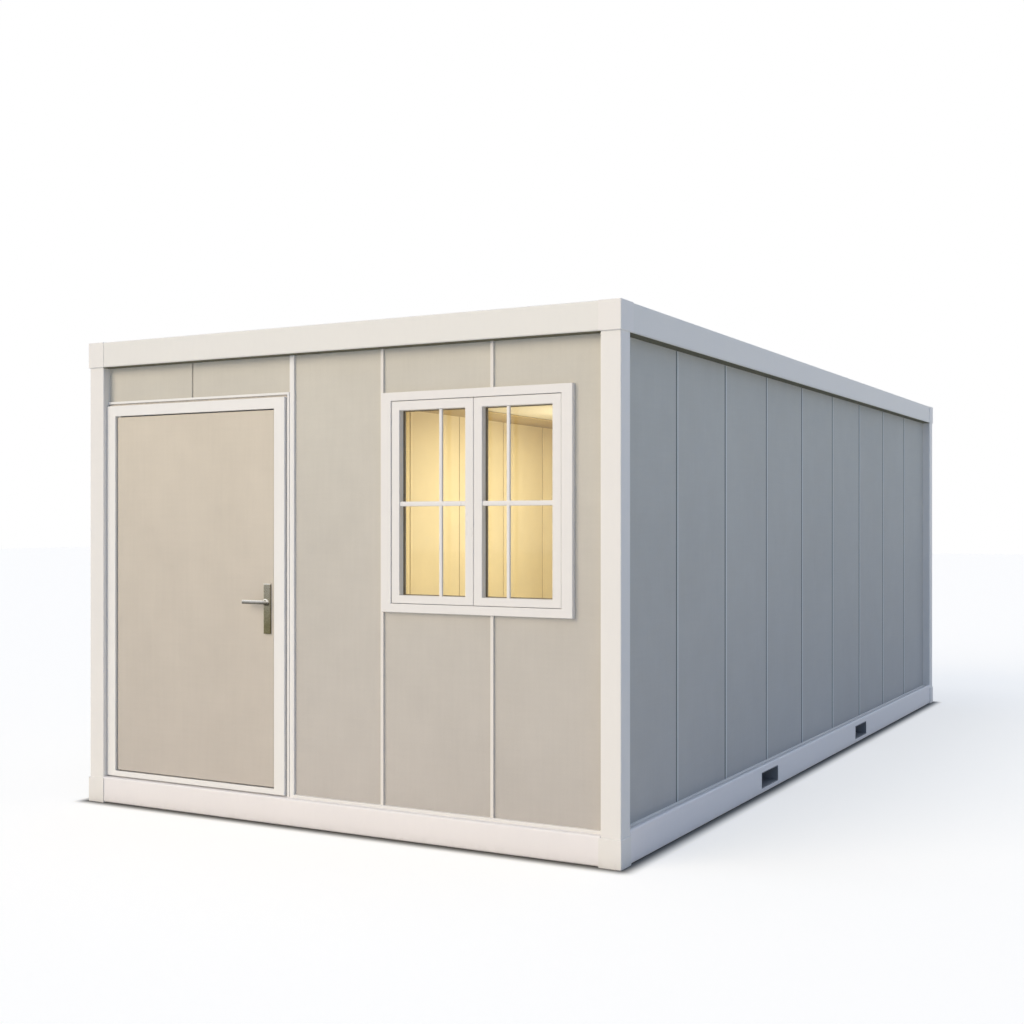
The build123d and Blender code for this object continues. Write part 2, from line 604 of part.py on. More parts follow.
def door_leaf():
    """The insulated leaf, bored for its pivots and the spindle, and the pivot pins."""
    x_high, x_low = from_right(DOOR_RIGHT + LEAF_GAP, DOOR_LEFT - LEAF_GAP)
    bottom, top = DOOR_BOTTOM + LEAF_GAP, DOOR_TOP - LEAF_GAP
    y_back = LEAF_FACE + LEAF_THICKNESS
    leaf = box((x_low, x_high), (LEAF_FACE, y_back), (bottom, top))
    upright = front_edges(leaf, LEAF_FACE).filter_by(Axis.Z)
    leaf = fillet(upright.sort_by(Axis.X)[:1], PIVOT_INSET)
    upright = front_edges(leaf, LEAF_FACE).filter_by(Axis.Z)
    leaf = chamfer(upright.sort_by(Axis.X)[-1:], LEAF_EDGE)
    x_pivot, y_pivot = pivot_axis()
    bore = Cylinder(PIVOT_RADIUS + PIVOT_FIT, PIVOT_LENGTH, align=(Align.CENTER, Align.CENTER, Align.MIN))
    leaf -= Pos(x_pivot, y_pivot, bottom - LEAF_GAP / 2) * bore
    leaf -= Pos(x_pivot, y_pivot, top + LEAF_GAP / 2 - PIVOT_LENGTH) * bore
    spindle_x, _ = spindle_place()
    hole = Cylinder(SPINDLE_RADIUS + SPINDLE_FIT, 4 * LEAF_THICKNESS)
    leaf -= Pos(spindle_x, LEAF_FACE, SPINDLE_HEIGHT) * Rot(90, 0, 0) * hole
    save("door_leaf", leaf)
    base = (Align.CENTER, Align.CENTER, Align.MIN)
    pin = Cylinder(PIVOT_RADIUS, PIVOT_LENGTH - LEAF_GAP / 2, align=base)
    pin += Cylinder(PIVOT_COLLAR_RADIUS, PIVOT_COLLAR, align=base)
    save("door_pivots",
         Pos(x_pivot, y_pivot, DOOR_BOTTOM) * pin,
         Pos(x_pivot, y_pivot, DOOR_TOP) * Rot(180, 0, 0) * pin)


def spindle_place():
    """The X and Z of the lever's spindle, set in from the leaf's closing edge."""
    return HALF_WIDTH - DOOR_RIGHT - LEAF_GAP - HANDLE_BACKSET, SPINDLE_HEIGHT


def handle():
    """A long plate on each side of the leaf and a pair of levers on one spindle."""
    x, z = spindle_place()
    y_back = LEAF_FACE + LEAF_THICKNESS
    middle = z - PLATE_BELOW_SPINDLE + PLATE_HEIGHT / 2
    plate = box((x - PLATE_WIDTH / 2, x + PLATE_WIDTH / 2), (LEAF_FACE - PLATE_THICKNESS, LEAF_FACE),
                (middle - PLATE_HEIGHT / 2, middle + PLATE_HEIGHT / 2))
    plate = chamfer(front_edges(plate, LEAF_FACE - PLATE_THICKNESS), PLATE_EDGE)
    hole = Cylinder(SPINDLE_RADIUS + SPINDLE_FIT, 4 * LEAF_THICKNESS)
    plate -= Pos(x, LEAF_FACE, z) * Rot(90, 0, 0) * hole
    leaf_middle = Plane.XZ.offset(-(LEAF_FACE + y_back) / 2)
    save("handle_plates", plate, mirror(plate, about=leaf_middle))
    outer_lever = lever(x, z)
    spindle_reach = LEAF_THICKNESS / 2 + PLATE_THICKNESS + LEVER_REACH / 2
    spindle = Rot(90, 0, 0) * Cylinder(SPINDLE_RADIUS, 2 * spindle_reach)
    spindle = Pos(x, (LEAF_FACE + y_back) / 2, z) * spindle
    save("lever_handle", outer_lever + mirror(outer_lever, about=leaf_middle) + spindle)


def lever(x, z):
    """One lever: a tapered round hub that turns into a flat bar pointing to the hinge side."""
    hub_start = LEAF_FACE - PLATE_THICKNESS - HUB_GAP
    bar_middle = LEAF_FACE - LEVER_REACH + LEVER_THICKNESS / 2
    path = FilletPolyline((x, hub_start), (x, bar_middle), (x - LEVER_LENGTH, bar_middle),
                          radius=LEVER_BEND)
    start = Plane(origin=(x, hub_start, z), x_dir=(1, 0, 0), z_dir=(0, -1, 0))
    outline = Rectangle(LEVER_THICKNESS, LEVER_HEIGHT)
    section = start * chamfer(outline.vertices(), LEVER_EDGE)
    bar = sweep(section, path=Pos(0, 0, z) * path)
    hub_length = hub_start - bar_middle - LEVER_BEND / 2
    hub = Pos(x, hub_start, z) * Rot(90, 0, 0) * Cone(
        HUB_RADIUS, HUB_NECK_RADIUS, hub_length, align=(Align.CENTER, Align.CENTER, Align.MIN))
    return bar + hub


def window():
    """The casing with its liner through the wall, two sashes and their glass."""
    x_high, x_low = from_right(WINDOW_RIGHT, WINDOW_LEFT)
    outer = (x_low, x_high, WINDOW_BOTTOM, WINDOW_TOP)
    daylight = (x_low + CASING_SIDE, x_high - CASING_SIDE,
                WINDOW_BOTTOM + CASING_RAIL, WINDOW_TOP - CASING_RAIL)
    face = FRONT_FACE - CASING_PROUD
    casing = ring(outer, daylight, (face, FRONT_FACE))
    casing = fillet(front_edges(casing, face), CASING_EDGE)
    sash_face = face + SASH_SET_BACK
    sash_back = sash_face + SASH_DEPTH
    liner = grown(window_hole(), -LINER_FIT)
    casing += ring(liner, daylight, (FRONT_FACE, sash_back))
    casing += ring(liner, grown(daylight, -SASH_STOP), (sash_back, FRAME_BACK))
    save("window_casing", casing)
    x_meet = (daylight[0] + daylight[1]) / 2
    bottom, top = daylight[2] + SASH_GAP, daylight[3] - SASH_GAP
    sides = {
        "left": (daylight[0] + SASH_GAP, x_meet - SASH_GAP / 2, bottom, top),
        "right": (x_meet + SASH_GAP / 2, daylight[1] - SASH_GAP, bottom, top),
    }
    panes = []
    for side, whole in sides.items():
        light = (whole[0] + SASH_STILE, whole[1] - SASH_STILE, whole[2] + SASH_RAIL, whole[3] - SASH_HEAD)
        sash = ring(whole, light, (sash_face, sash_back))
        sash = fillet(front_edges(sash, sash_face), SASH_EDGE)
        pane_front = sash_face + GLASS_SET_BACK
        pane_y = (pane_front, pane_front + GLASS_THICKNESS)
        rebate = grown(light, GLASS_BITE)
        sash -= box(rebate[:2], (pane_front - GLASS_FIT, pane_y[1] + GLASS_FIT), rebate[2:])
        save(f"window_sash_{side}", sash)
        glass = grown(light, GLASS_BITE - GLASS_FIT)
        panes.append(box(glass[:2], pane_y, glass[2:]))
    save("window_glass", *panes)


if __name__ == "__main__":
    os.makedirs("parts", exist_ok=True)
    corner_pieces()
    side_base_beams()
    end_base_beams()
    roof_beams()
    fork_pockets()
    floor_and_roof()
    plain_walls()
    front_wall()
    base_channels()
    door_frame()
    door_leaf()
    handle()
    window()
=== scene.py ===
"""Dresses a flat-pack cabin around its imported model.

The steel frame, the panels, the door, the window, the room and the roof are each a class
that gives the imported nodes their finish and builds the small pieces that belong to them.
All lengths are in metres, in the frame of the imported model.
"""

from __future__ import annotations

import logging
import math
from dataclasses import dataclass
from enum import Enum
from typing import Mapping, Sequence, Union

import bpy
import numpy as np
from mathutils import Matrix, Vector
from numpy.typing import NDArray

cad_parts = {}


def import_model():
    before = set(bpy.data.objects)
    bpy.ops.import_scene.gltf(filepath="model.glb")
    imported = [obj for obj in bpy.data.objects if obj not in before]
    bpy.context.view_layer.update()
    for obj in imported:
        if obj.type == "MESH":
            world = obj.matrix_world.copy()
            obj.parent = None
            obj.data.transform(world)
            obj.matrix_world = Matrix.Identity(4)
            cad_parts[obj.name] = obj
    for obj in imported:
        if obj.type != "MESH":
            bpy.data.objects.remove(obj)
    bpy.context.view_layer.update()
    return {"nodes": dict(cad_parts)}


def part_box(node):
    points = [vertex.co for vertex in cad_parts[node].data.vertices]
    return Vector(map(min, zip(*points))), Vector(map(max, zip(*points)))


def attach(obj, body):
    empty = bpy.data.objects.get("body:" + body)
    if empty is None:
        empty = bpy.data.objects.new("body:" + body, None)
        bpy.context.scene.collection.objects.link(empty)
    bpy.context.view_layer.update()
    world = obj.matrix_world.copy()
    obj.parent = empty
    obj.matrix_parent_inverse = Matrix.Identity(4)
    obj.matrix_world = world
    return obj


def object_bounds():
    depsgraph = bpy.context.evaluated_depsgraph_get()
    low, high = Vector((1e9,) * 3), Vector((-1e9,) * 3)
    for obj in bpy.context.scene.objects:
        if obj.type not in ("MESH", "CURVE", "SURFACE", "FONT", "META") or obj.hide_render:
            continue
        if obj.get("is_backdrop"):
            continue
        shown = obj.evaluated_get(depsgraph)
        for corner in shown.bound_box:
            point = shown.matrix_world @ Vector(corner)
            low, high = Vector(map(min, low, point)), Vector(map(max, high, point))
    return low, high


LOG = logging.getLogger("cabin")

Material = bpy.types.Material
Node = bpy.types.Node
Socket = bpy.types.NodeSocket
Rgb = tuple[float, float, float]
Points = NDArray[np.float64]
Faces = NDArray[np.int64]
Rectangle = tuple[float, float, float, float]

ACROSS = Vector((1.0, 0.0, 0.0))
ALONG = Vector((0.0, 1.0, 0.0))
UP = Vector((0.0, 0.0, 1.0))
WHITE: Rgb = (1.0, 1.0, 1.0)
SIDES = (-1.0, 1.0)


class Body(str, Enum):
    """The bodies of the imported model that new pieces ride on."""

    CABIN = "cabin"
    LEVER = "lever"


class Plane(Enum):
    """How a rectangular loop stands: in the front wall, or level like a cornice."""

    UPRIGHT = "upright"
    LEVEL = "level"


def paint(red: int, green: int, blue: int) -> Rgb:
    """A colour as a paint chart gives it, from 0 to 255, turned into linear light.

    Args:
        red: Red part.
        green: Green part.
        blue: Blue part.

    Returns:
        The three parts in linear light, from 0 to 1.
    """
    parts = np.array([red, green, blue]) / 255
    linear = np.where(parts <= 0.04045, parts / 12.92, ((parts + 0.055) / 1.055) ** 2.4)
    return tuple(float(part) for part in linear)


class Field:
    """A number that varies over a surface, so that shader maths reads as arithmetic."""

    def __init__(self, graph: Graph, socket: Socket) -> None:
        """Keep the graph that the number belongs to and the socket that gives it."""
        self.graph = graph
        self.socket = socket

    def join(self, operation: str, *terms: Term) -> Field:
        """Put the terms through one Math node.

        Args:
            operation: The Math node's operation.
            terms: Its inputs in order, numbers or fields.

        Returns:
            The node's result.
        """
        node = self.graph.node("ShaderNodeMath", {"operation": operation}, dict(enumerate(terms)))
        return Field(self.graph, node.outputs[0])

    def __add__(self, other: Term) -> Field:
        """This number plus another."""
        return self.join("ADD", self, other)

    def __radd__(self, other: Term) -> Field:
        """Another number plus this one."""
        return self.join("ADD", other, self)

    def __sub__(self, other: Term) -> Field:
        """This number minus another."""
        return self.join("SUBTRACT", self, other)

    def __rsub__(self, other: Term) -> Field:
        """Another number minus this one."""
        return self.join("SUBTRACT", other, self)

    def __mul__(self, other: Term) -> Field:
        """This number times another."""
        return self.join("MULTIPLY", self, other)

    def __rmul__(self, other: Term) -> Field:
        """Another number times this one."""
        return self.join("MULTIPLY", other, self)

    def __truediv__(self, other: Term) -> Field:
        """This number over another."""
        return self.join("DIVIDE", self, other)

    def __abs__(self) -> Field:
        """This number without its sign."""
        return self.join("ABSOLUTE", self)

    def __lt__(self, limit: Term) -> Field:
        """1 where this number is under the limit, and 0 elsewhere."""
        return self.join("LESS_THAN", self, limit)

    def fraction(self) -> Field:
        """What this number has over the whole number below it."""
        return self.join("FRACT", self)

    def eased(self, low: float, high: float) -> Field:
        """A soft step over this number.

        Args:
            low: Where the step starts, at 0.
            high: Where it ends, at 1.

        Returns:
            The step.
        """
        settings = {"interpolation_type": "SMOOTHSTEP"}
        node = self.graph.node("ShaderNodeMapRange", settings, {0: self, 1: low, 2: high})
        return Field(self.graph, node.outputs[0])


Term = Union[Field, float, int]
Link = Union[Field, Socket]


class Graph:
    """The node tree of a material or of the surround."""

    def __init__(self, owner: Material | bpy.types.World) -> None:
        """Empty the node tree of its owner.

        Args:
            owner: The material or the surround.
        """
        owner.use_nodes = True
        self.tree = owner.node_tree
        self.tree.nodes.clear()

    def node(
        self,
        kind: str,
        settings: Mapping[str, object] | None = None,
        inputs: Mapping[int | str, object] | None = None,
    ) -> Node:
        """Add a node.

        Args:
            kind: The node's type.
            settings: Its own settings, which are set first.
            inputs: Its sockets, by name or place, each a value, a field or a socket.

        Returns:
            The node.
        """
        made = self.tree.nodes.new(kind)
        for key, value in (settings or {}).items():
            setattr(made, key, value)
        for key, value in (inputs or {}).items():
            source = value.socket if isinstance(value, Field) else value
            if isinstance(source, Socket):
                self.tree.links.new(source, made.inputs[key])
            elif isinstance(source, tuple) and made.inputs[key].type == "RGBA":
                made.inputs[key].default_value = (*source, 1.0)
            else:
                made.inputs[key].default_value = source
        return made

    def rays(self, *kinds: str) -> Field:
        """1 for rays of the given kinds and 0 for the others.

        Args:
            kinds: The Light Path node's names for them.

        Returns:
            The greatest of their marks.
        """
        path = self.node("ShaderNodeLightPath").outputs
        most, *others = (Field(self, path[kind]) for kind in kinds)
        for other in others:
            most = most.join("MAXIMUM", most, other)
        return most

    def blend(self, share: Term, first: Link | Rgb, second: Link | Rgb) -> Socket:
        """Mix two colours.

        Args:
            share: How much of the second, from 0 to 1.
            first: A colour or its socket.
            second: A colour or its socket.

        Returns:
            The mixed colour.
        """
        mixed = self.node("ShaderNodeMix", {"data_type": "RGBA"}, {0: share, 6: first, 7: second})
        return mixed.outputs[2]


class Surface(Graph):
    """The graph of one material, read in the object's own coordinates."""

    def __init__(self, name: str) -> None:
        """Start an empty material and split its coordinates.

        Args:
            name: The material's name.
        """
        self.material = bpy.data.materials.new(name)
        super().__init__(self.material)
        self.place = self.node("ShaderNodeTexCoord").outputs["Object"]
        split = self.node("ShaderNodeSeparateXYZ", inputs={0: self.place})
        self.x, self.y, self.z = (Field(self, socket) for socket in split.outputs)

    def noise(
        self, per_metre: float, stretch: Rgb = (1.0, 1.0, 1.0), detail: float = 2.0, shift: float = 0.0
    ) -> Field:
        """Soft noise around a middle of 0, reaching about -0.5 to 0.5.

        Args:
            per_metre: About how many lumps lie in a metre.
            stretch: How much finer the lumps are along each axis.
            detail: How many finer layers are added.
            shift: Moves the pattern, so that two of them differ.

        Returns:
            The noise.
        """
        moving = {"Vector": self.place, "Location": (shift,) * 3, "Scale": stretch}
        moved = self.node("ShaderNodeMapping", {"vector_type": "POINT"}, moving).outputs[0]
        lumps = {"Vector": moved, "Scale": per_metre, "Detail": detail}
        made = self.node("ShaderNodeTexNoise", {"noise_dimensions": "3D"}, lumps)
        return Field(self, made.outputs[0]) - 0.5

    def shaded(self, colour: Link | Rgb, strength: Field) -> Socket:
        """A colour made lighter or darker.

        Args:
            colour: The colour.
            strength: What each of its parts is multiplied by.

        Returns:
            The product.
        """
        settings = {"data_type": "RGBA", "blend_type": "MULTIPLY"}
        return self.node("ShaderNodeMix", settings, {0: 1.0, 6: colour, 7: strength}).outputs[2]

    def relief(self, height: Field, depth: float) -> Socket:
        """A normal bent by a height field.

        Args:
            height: The relief, around 0.
            depth: How far in metres a height of 1 stands out.

        Returns:
            The normal.
        """
        bump = self.node("ShaderNodeBump", None, {"Strength": 1.0, "Distance": depth, "Height": height})
        return bump.outputs[0]

    def layered(self, share: Term, under: Node, over: Node) -> Node:
        """Mix two shaders.

        Args:
            share: How much of the upper one, from 0 to 1.
            under: The lower shader.
            over: The upper shader.

        Returns:
            The mixed shader.
        """
        return self.node("ShaderNodeMixShader", None, {0: share, 1: under.outputs[0], 2: over.outputs[0]})

    def close(self, shader: Node) -> Material:
        """Close the graph with a shader and give its material."""
        self.node("ShaderNodeOutputMaterial", None, {"Surface": shader.outputs[0]})
        return self.material

    def finish(self, surface: Mapping[int | str, object]) -> Material:
        """Close the graph with one surface shader.

        Args:
            surface: The shader's sockets.

        Returns:
            The material.
        """
        return self.close(self.node("ShaderNodeBsdfPrincipled", None, surface))


@dataclass(frozen=True)
class RoomShell:
    """Where the inner faces of the walls begin, which have a finish of their own."""

    half_width: float
    half_length: float
    tint: Rgb

    def laid_over(self, graph: Surface, outside: Link) -> Socket:
        """Give a colour its other tint on the room side.

        Args:
            graph: The material's graph.
            outside: The colour of the outer face.

        Returns:
            The outer colour outside, and this tint within the room's faces.
        """
        within = (abs(graph.x) < self.half_width) * (abs(graph.y) < self.half_length)
        return graph.blend(within, outside, self.tint)


@dataclass(frozen=True)
class PanelCoating:
    """The panels' matt coating: a linen-like grain, soft clouds and a duller foot."""

    name: str
    head: Rgb
    foot: Rgb
    room: RoomShell | None = None
    foot_height: float = 0.13
    head_height: float = 2.27
    roughness: float = 0.62
    shine: float = 0.22

    def material(self) -> Material:
        """Build the material.

        Returns:
            The material.
        """
        graph = Surface(self.name)
        rise = (graph.z - self.foot_height) / (self.head_height - self.foot_height)
        tone = graph.blend(rise, self.foot, self.head)
        clouds = graph.noise(1.1, detail=4.0)
        patches = graph.noise(5.5, detail=3.0, shift=7.0)
        warp = graph.noise(60.0, stretch=(1.0, 1.0, 0.07), shift=3.0)
        weft = graph.noise(60.0, stretch=(0.07, 0.07, 1.0), shift=5.0)
        thread = graph.noise(900.0, stretch=(1.0, 1.0, 0.2)) + graph.noise(900.0, stretch=(0.2, 0.2, 1.0))
        strength = 1.0 + clouds * 0.13 + patches * 0.11 + warp * 0.045 + weft * 0.035 + thread * 0.08
        colour = graph.shaded(tone, strength)
        if self.room is not None:
            colour = self.room.laid_over(graph, colour)
        relief = thread * 0.5 + (warp + weft) * 0.35 + clouds * 6.0
        return graph.finish({
            "Base Color": colour,
            "Roughness": self.roughness + patches * 0.2 + thread * 0.08,
            "Specular IOR Level": self.shine,
            "Normal": graph.relief(relief, 0.00035),
        })


@dataclass(frozen=True)
class SatinPaint:
    """Paint on folded steel or a smooth profile: faint orange peel and a dusty foot."""

    name: str
    tone: Rgb
    roughness: float = 0.36
    peel_depth: float = 0.00012
    dust: Rgb = (0.46, 0.43, 0.39)
    dust_height: float = 0.05
    dust_share: float = 0.16

    def material(self) -> Material:
        """Build the material.

        Returns:
            The material.
        """
        graph = Surface(self.name)
        clouds = graph.noise(2.3, detail=3.0)
        grain = graph.noise(45.0, stretch=(1.0, 1.0, 0.3), shift=2.0)
        peel = graph.noise(420.0, detail=1.0)
        low = 1.0 - graph.z.eased(0.0, self.dust_height)
        specks = (graph.noise(26.0, detail=5.0, shift=9.0) + 0.5).eased(0.35, 0.75)
        colour = graph.blend(low * specks * self.dust_share, self.tone, self.dust)
        strength = 1.0 + clouds * 0.035 + grain * 0.025
        return graph.finish({
            "Base Color": graph.shaded(colour, strength),
            "Roughness": self.roughness + clouds * 0.12 + grain * 0.06,
            "Normal": graph.relief(peel + clouds * 4.0, self.peel_depth),
        })


@dataclass(frozen=True)
class BrushedSteel:
    """Drawn metal: fine lines along one axis that spread its shine, painted shade that darkens it towards
    its foot and a painted highlight along its upper edge.
    """

    name: str
    tone: Rgb
    foot: Rgb
    along: Rgb
    roughness: float = 0.27
    foot_height: float = 0.92
    head_height: float = 1.165
    highlight_depth: float = 0.007
    painted_highlight: Rgb = (0.93, 0.91, 0.86)

    def material(self) -> Material:
        """Build the material.

        Returns:
            The material.
        """
        graph = Surface(self.name)
        lines = graph.noise(2600.0, stretch=self.along, detail=3.0)
        smears = graph.noise(38.0, detail=3.0, shift=4.0)
        strength = 1.0 + lines * 0.16 + smears * 0.10
        # Painted shade: the tone darkens from the head height down to the foot height.
        rise = graph.z.eased(self.foot_height, self.head_height) + smears * 0.3
        tone = graph.blend(rise, self.foot, self.tone)
        # Painted highlight: a light band just under the head height.
        edge = graph.z.eased(self.head_height - self.highlight_depth, self.head_height - self.highlight_depth / 3)
        return graph.finish({
            "Base Color": graph.blend(edge, graph.shaded(tone, strength), self.painted_highlight),
            "Metallic": 1.0,
            "Roughness": self.roughness + lines * 0.14 + smears * 0.12,
            "Normal": graph.relief(lines, 0.00002),
        })


@dataclass(frozen=True)
class ClearGlass:
    """A pane: clear straight on, and more like a mirror the flatter it is seen."""

    name: str
    tint: Rgb
    film: float = 0.02
    gloss: float = 0.5
    bend: float = 1.45

    def material(self) -> Material:
        """Build the material.

        Returns:
            The material.
        """
        graph = Surface(self.name)
        through = graph.node("ShaderNodeBsdfTransparent", None, {"Color": self.tint})
        smears = graph.noise(9.0, detail=4.0)
        shine = graph.node("ShaderNodeBsdfPrincipled", None, {
            "Base Color": self.tint,
            "Metallic": 1.0,
            "Roughness": 0.03 + abs(smears) * 0.05,
        })
        slant = Field(graph, graph.node("ShaderNodeFresnel", None, {"IOR": self.bend}).outputs[0])
        return graph.close(graph.layered(slant * self.gloss + self.film, through, shine))


@dataclass(frozen=True)
class Rubber:
    """Seal rubber or sealant with a dry bloom, also for the dark strips that paint shade under the eaves and
    in the long walls' joints.
    """

    name: str
    tone: Rgb

    def material(self) -> Material:
        """Build the material.

        Returns:
            The material.
        """
        graph = Surface(self.name)
        bloom = graph.noise(60.0, detail=4.0)
        return graph.finish({
            "Base Color": graph.shaded(self.tone, 1.0 + bloom * 0.5),
            "Roughness": 0.68 + bloom * 0.2,
            "Normal": graph.relief(bloom, 0.00008),
        })


@dataclass(frozen=True)
class DeckBoard:
    """A sealed floor board: grain along the cabin, with joints across it."""

    name: str
    light: Rgb
    dark: Rgb
    board_length: float = 1.22
    joint: float = 0.003

    def material(self) -> Material:
        """Build the material.

        Returns:
            The material.
        """
        graph = Surface(self.name)
        grain = graph.noise(36.0, stretch=(1.0, 0.06, 1.0), detail=5.0)
        figure = graph.noise(5.0, stretch=(1.0, 0.25, 1.0), detail=3.0, shift=6.0)
        colour = graph.blend((0.5 + grain + figure).eased(0.15, 0.9), self.dark, self.light)
        turn = (graph.y / self.board_length).fraction()
        seam = abs(turn - 0.5) < self.joint / self.board_length
        return graph.finish({
            "Base Color": graph.shaded(colour, 1.0 - seam * 0.5),
            "Roughness": 0.5 + grain * 0.25,
            "Normal": graph.relief(grain - seam * 2.0, 0.0004),
        })


@dataclass(frozen=True)
class RoofCoating:
    """Coated roof sheet: run-off streaks down the ribs' hollows and settled dust."""

    name: str
    tone: Rgb
    dust: Rgb

    def material(self) -> Material:
        """Build the material.

        Returns:
            The material.
        """
        graph = Surface(self.name)
        streaks = graph.noise(16.0, stretch=(0.08, 1.0, 1.0), detail=4.0)
        clouds = graph.noise(1.6, detail=4.0, shift=3.0)
        settled = (0.5 + streaks * 0.8 + clouds * 1.2).eased(0.35, 1.0)
        peel = graph.noise(300.0)
        return graph.finish({
            "Base Color": graph.blend(settled * 0.55, self.tone, self.dust),
            "Roughness": 0.45 + settled * 0.25,
            "Normal": graph.relief(peel + clouds * 5.0, 0.00016),
        })


@dataclass(frozen=True)
class Finishes:
    """Every material of the cabin, made once."""

    frame: Material
    beam: Material
    base: Material
    strip: Material
    trim: Material
    window: Material
    panel: Material
    side_panel_shade_copy: Material
    lining: Material
    door: Material
    glass: Material
    plate: Material
    lever: Material
    seal: Material
    gasket: Material
    eaves: Material
    sealant: Material
    joint: Material
    edge: Material
    seam: Material
    deck: Material
    primer: Material
    ceiling: Material
    cornice: Material
    roof: Material

    @classmethod
    def mixed(cls) -> Finishes:
        """Mix every finish.

        Returns:
            The finishes.
        """
        inner_x, inner_y = -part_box("wall_left")[1].x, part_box("wall_rear")[0].y
        within_wall = 0.02
        cream = paint(238, 222, 184)
        room = RoomShell(inner_x + within_wall, inner_y + within_wall, cream)
        lines_up, lines_across = (1.0, 1.0, 0.02), (0.02, 1.0, 1.0)
        recipes = {
            "frame": SatinPaint("frame_white", paint(232, 230, 226)),
            "beam": SatinPaint("beam_white", paint(228, 227, 222)),
            # The base beams' white is painted lighter than the rest of the frame: painted light for the
            # lesser light that reaches them.
            "base": SatinPaint("base_white", paint(236, 233, 233)),
            "strip": SatinPaint("strip_white", paint(228, 224, 218)),
            "trim": SatinPaint("trim_white", paint(235, 234, 231), roughness=0.32),
            "window": SatinPaint("window_white", paint(231, 229, 226), roughness=0.3, peel_depth=0.00004),
            "panel": PanelCoating("panel_greige", paint(207, 203, 191), paint(189, 184, 178), room),
            # A cooler, greyer copy of the panel coating for the long walls: painted shade of the cool-lit
            # side.
            "side_panel_shade_copy": PanelCoating("panel_grey_shade_copy", paint(200, 200, 192), paint(187, 186, 183), room),
            "lining": PanelCoating("lining_cream", cream, paint(240, 226, 190)),
            "door": PanelCoating("door_greige", paint(215, 206, 189), paint(193, 186, 177)),
            "glass": ClearGlass("window_clear", (0.97, 0.985, 0.98)),
            # The plate and the lever darken towards their foot (painted shade) and carry a painted highlight
            # along the upper edge.
            "plate": BrushedSteel("plate_steel", paint(166, 161, 146), paint(133, 127, 96), lines_up),
            "lever": BrushedSteel("lever_steel", paint(228, 226, 222), paint(104, 99, 86), lines_across,
                                  roughness=0.14, foot_height=1.066, head_height=1.083),
            "seal": Rubber("seal_rubber", paint(40, 40, 42)),
            "gasket": Rubber("glazing_rubber", paint(128, 118, 100)),
            # eaves: a dark strip that paints the shade under the roof beams.
            "eaves": Rubber("eaves_painted_shade", paint(92, 90, 70)),
            "sealant": Rubber("sealant_beige", paint(206, 198, 188)),
            # joint and edge: a dark strip that paints a joint's shade and a light strip that paints its
            # highlight.
            "joint": Rubber("joint_painted_shade", paint(108, 114, 114)),
            "edge": SatinPaint("joint_painted_highlight", paint(214, 218, 216), roughness=0.5),
            # seam: a dark strip whose edges paint the shade lines beside the room's cover strips.
            "seam": SatinPaint("cover_painted_shade", paint(146, 122, 78), roughness=0.6),
            "deck": DeckBoard("deck_board", paint(176, 160, 138), paint(128, 110, 90)),
            "primer": SatinPaint("primer_grey", paint(138, 142, 148), roughness=0.55),
            "ceiling": SatinPaint("ceiling_white", paint(236, 228, 208), roughness=0.6),
            # The cornice's darker tan is partly its own tone and partly painted shade of its downward slope.
            "cornice": SatinPaint("cornice_tan", paint(192, 170, 122), roughness=0.5),
            "roof": RoofCoating("roof_coating", paint(214, 216, 217), paint(176, 174, 168)),
        }
        return cls(**{name: recipe.material() for name, recipe in recipes.items()})


@dataclass(frozen=True)
class Shell:
    """A closed surface: its points, one row each, and an array of point numbers per face."""

    points: Points
    faces: list[Faces]


def add_piece(
    name: str,
    shells: Sequence[Shell],
    material: Material,
    body: Body = Body.CABIN,
    smooth_under: float = 35.0,
) -> None:
    """Make one new piece and let it ride on a body.

    The faces of each shell count on from the points of the shells before it.

    Args:
        name: The piece's name.
        shells: Its closed surfaces.
        material: Its finish.
        body: The body that carries it.
        smooth_under: Edges flatter than this many degrees are shaded smooth.
    """
    starts = np.cumsum([0] + [len(shell.points) for shell in shells])
    points = np.concatenate([shell.points for shell in shells])
    faces = [(face + start).tolist() for shell, start in zip(shells, starts) for face in shell.faces]
    mesh = bpy.data.meshes.new(name)
    mesh.from_pydata(points.tolist(), [], faces)
    mesh.validate()
    mesh.polygons.foreach_set("use_smooth", np.ones(len(mesh.polygons), dtype=bool))
    mesh.set_sharp_from_angle(angle=math.radians(smooth_under))
    mesh.materials.append(material)
    made = bpy.data.objects.new(name, mesh)
    bpy.context.scene.collection.objects.link(made)
    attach(made, body.value)
    LOG.info("built %s: %d faces on %s", name, len(mesh.polygons), body.value)


def grid_faces(rows: int, columns: int, wrap_rows: bool) -> Faces:
    """The four-cornered faces of a grid of points whose columns close on themselves.

    The corners of face (i, j) are points (i, j), (i+1, j), (i+1, j+1) and (i, j+1).

    Args:
        rows: How many rows of points.
        columns: How many points in a row, joined in a ring.
        wrap_rows: Whether the last row joins the first.

    Returns:
        One row of four point numbers per face.
    """
    i = np.arange(rows if wrap_rows else rows - 1)[:, None]
    j = np.arange(columns)[None, :]
    ahead, beside = (i + 1) % rows, (j + 1) % columns
    corners = [i * columns + j, ahead * columns + j, ahead * columns + beside, i * columns + beside]
    return np.stack(np.broadcast_arrays(*corners), axis=-1).reshape(-1, 4)


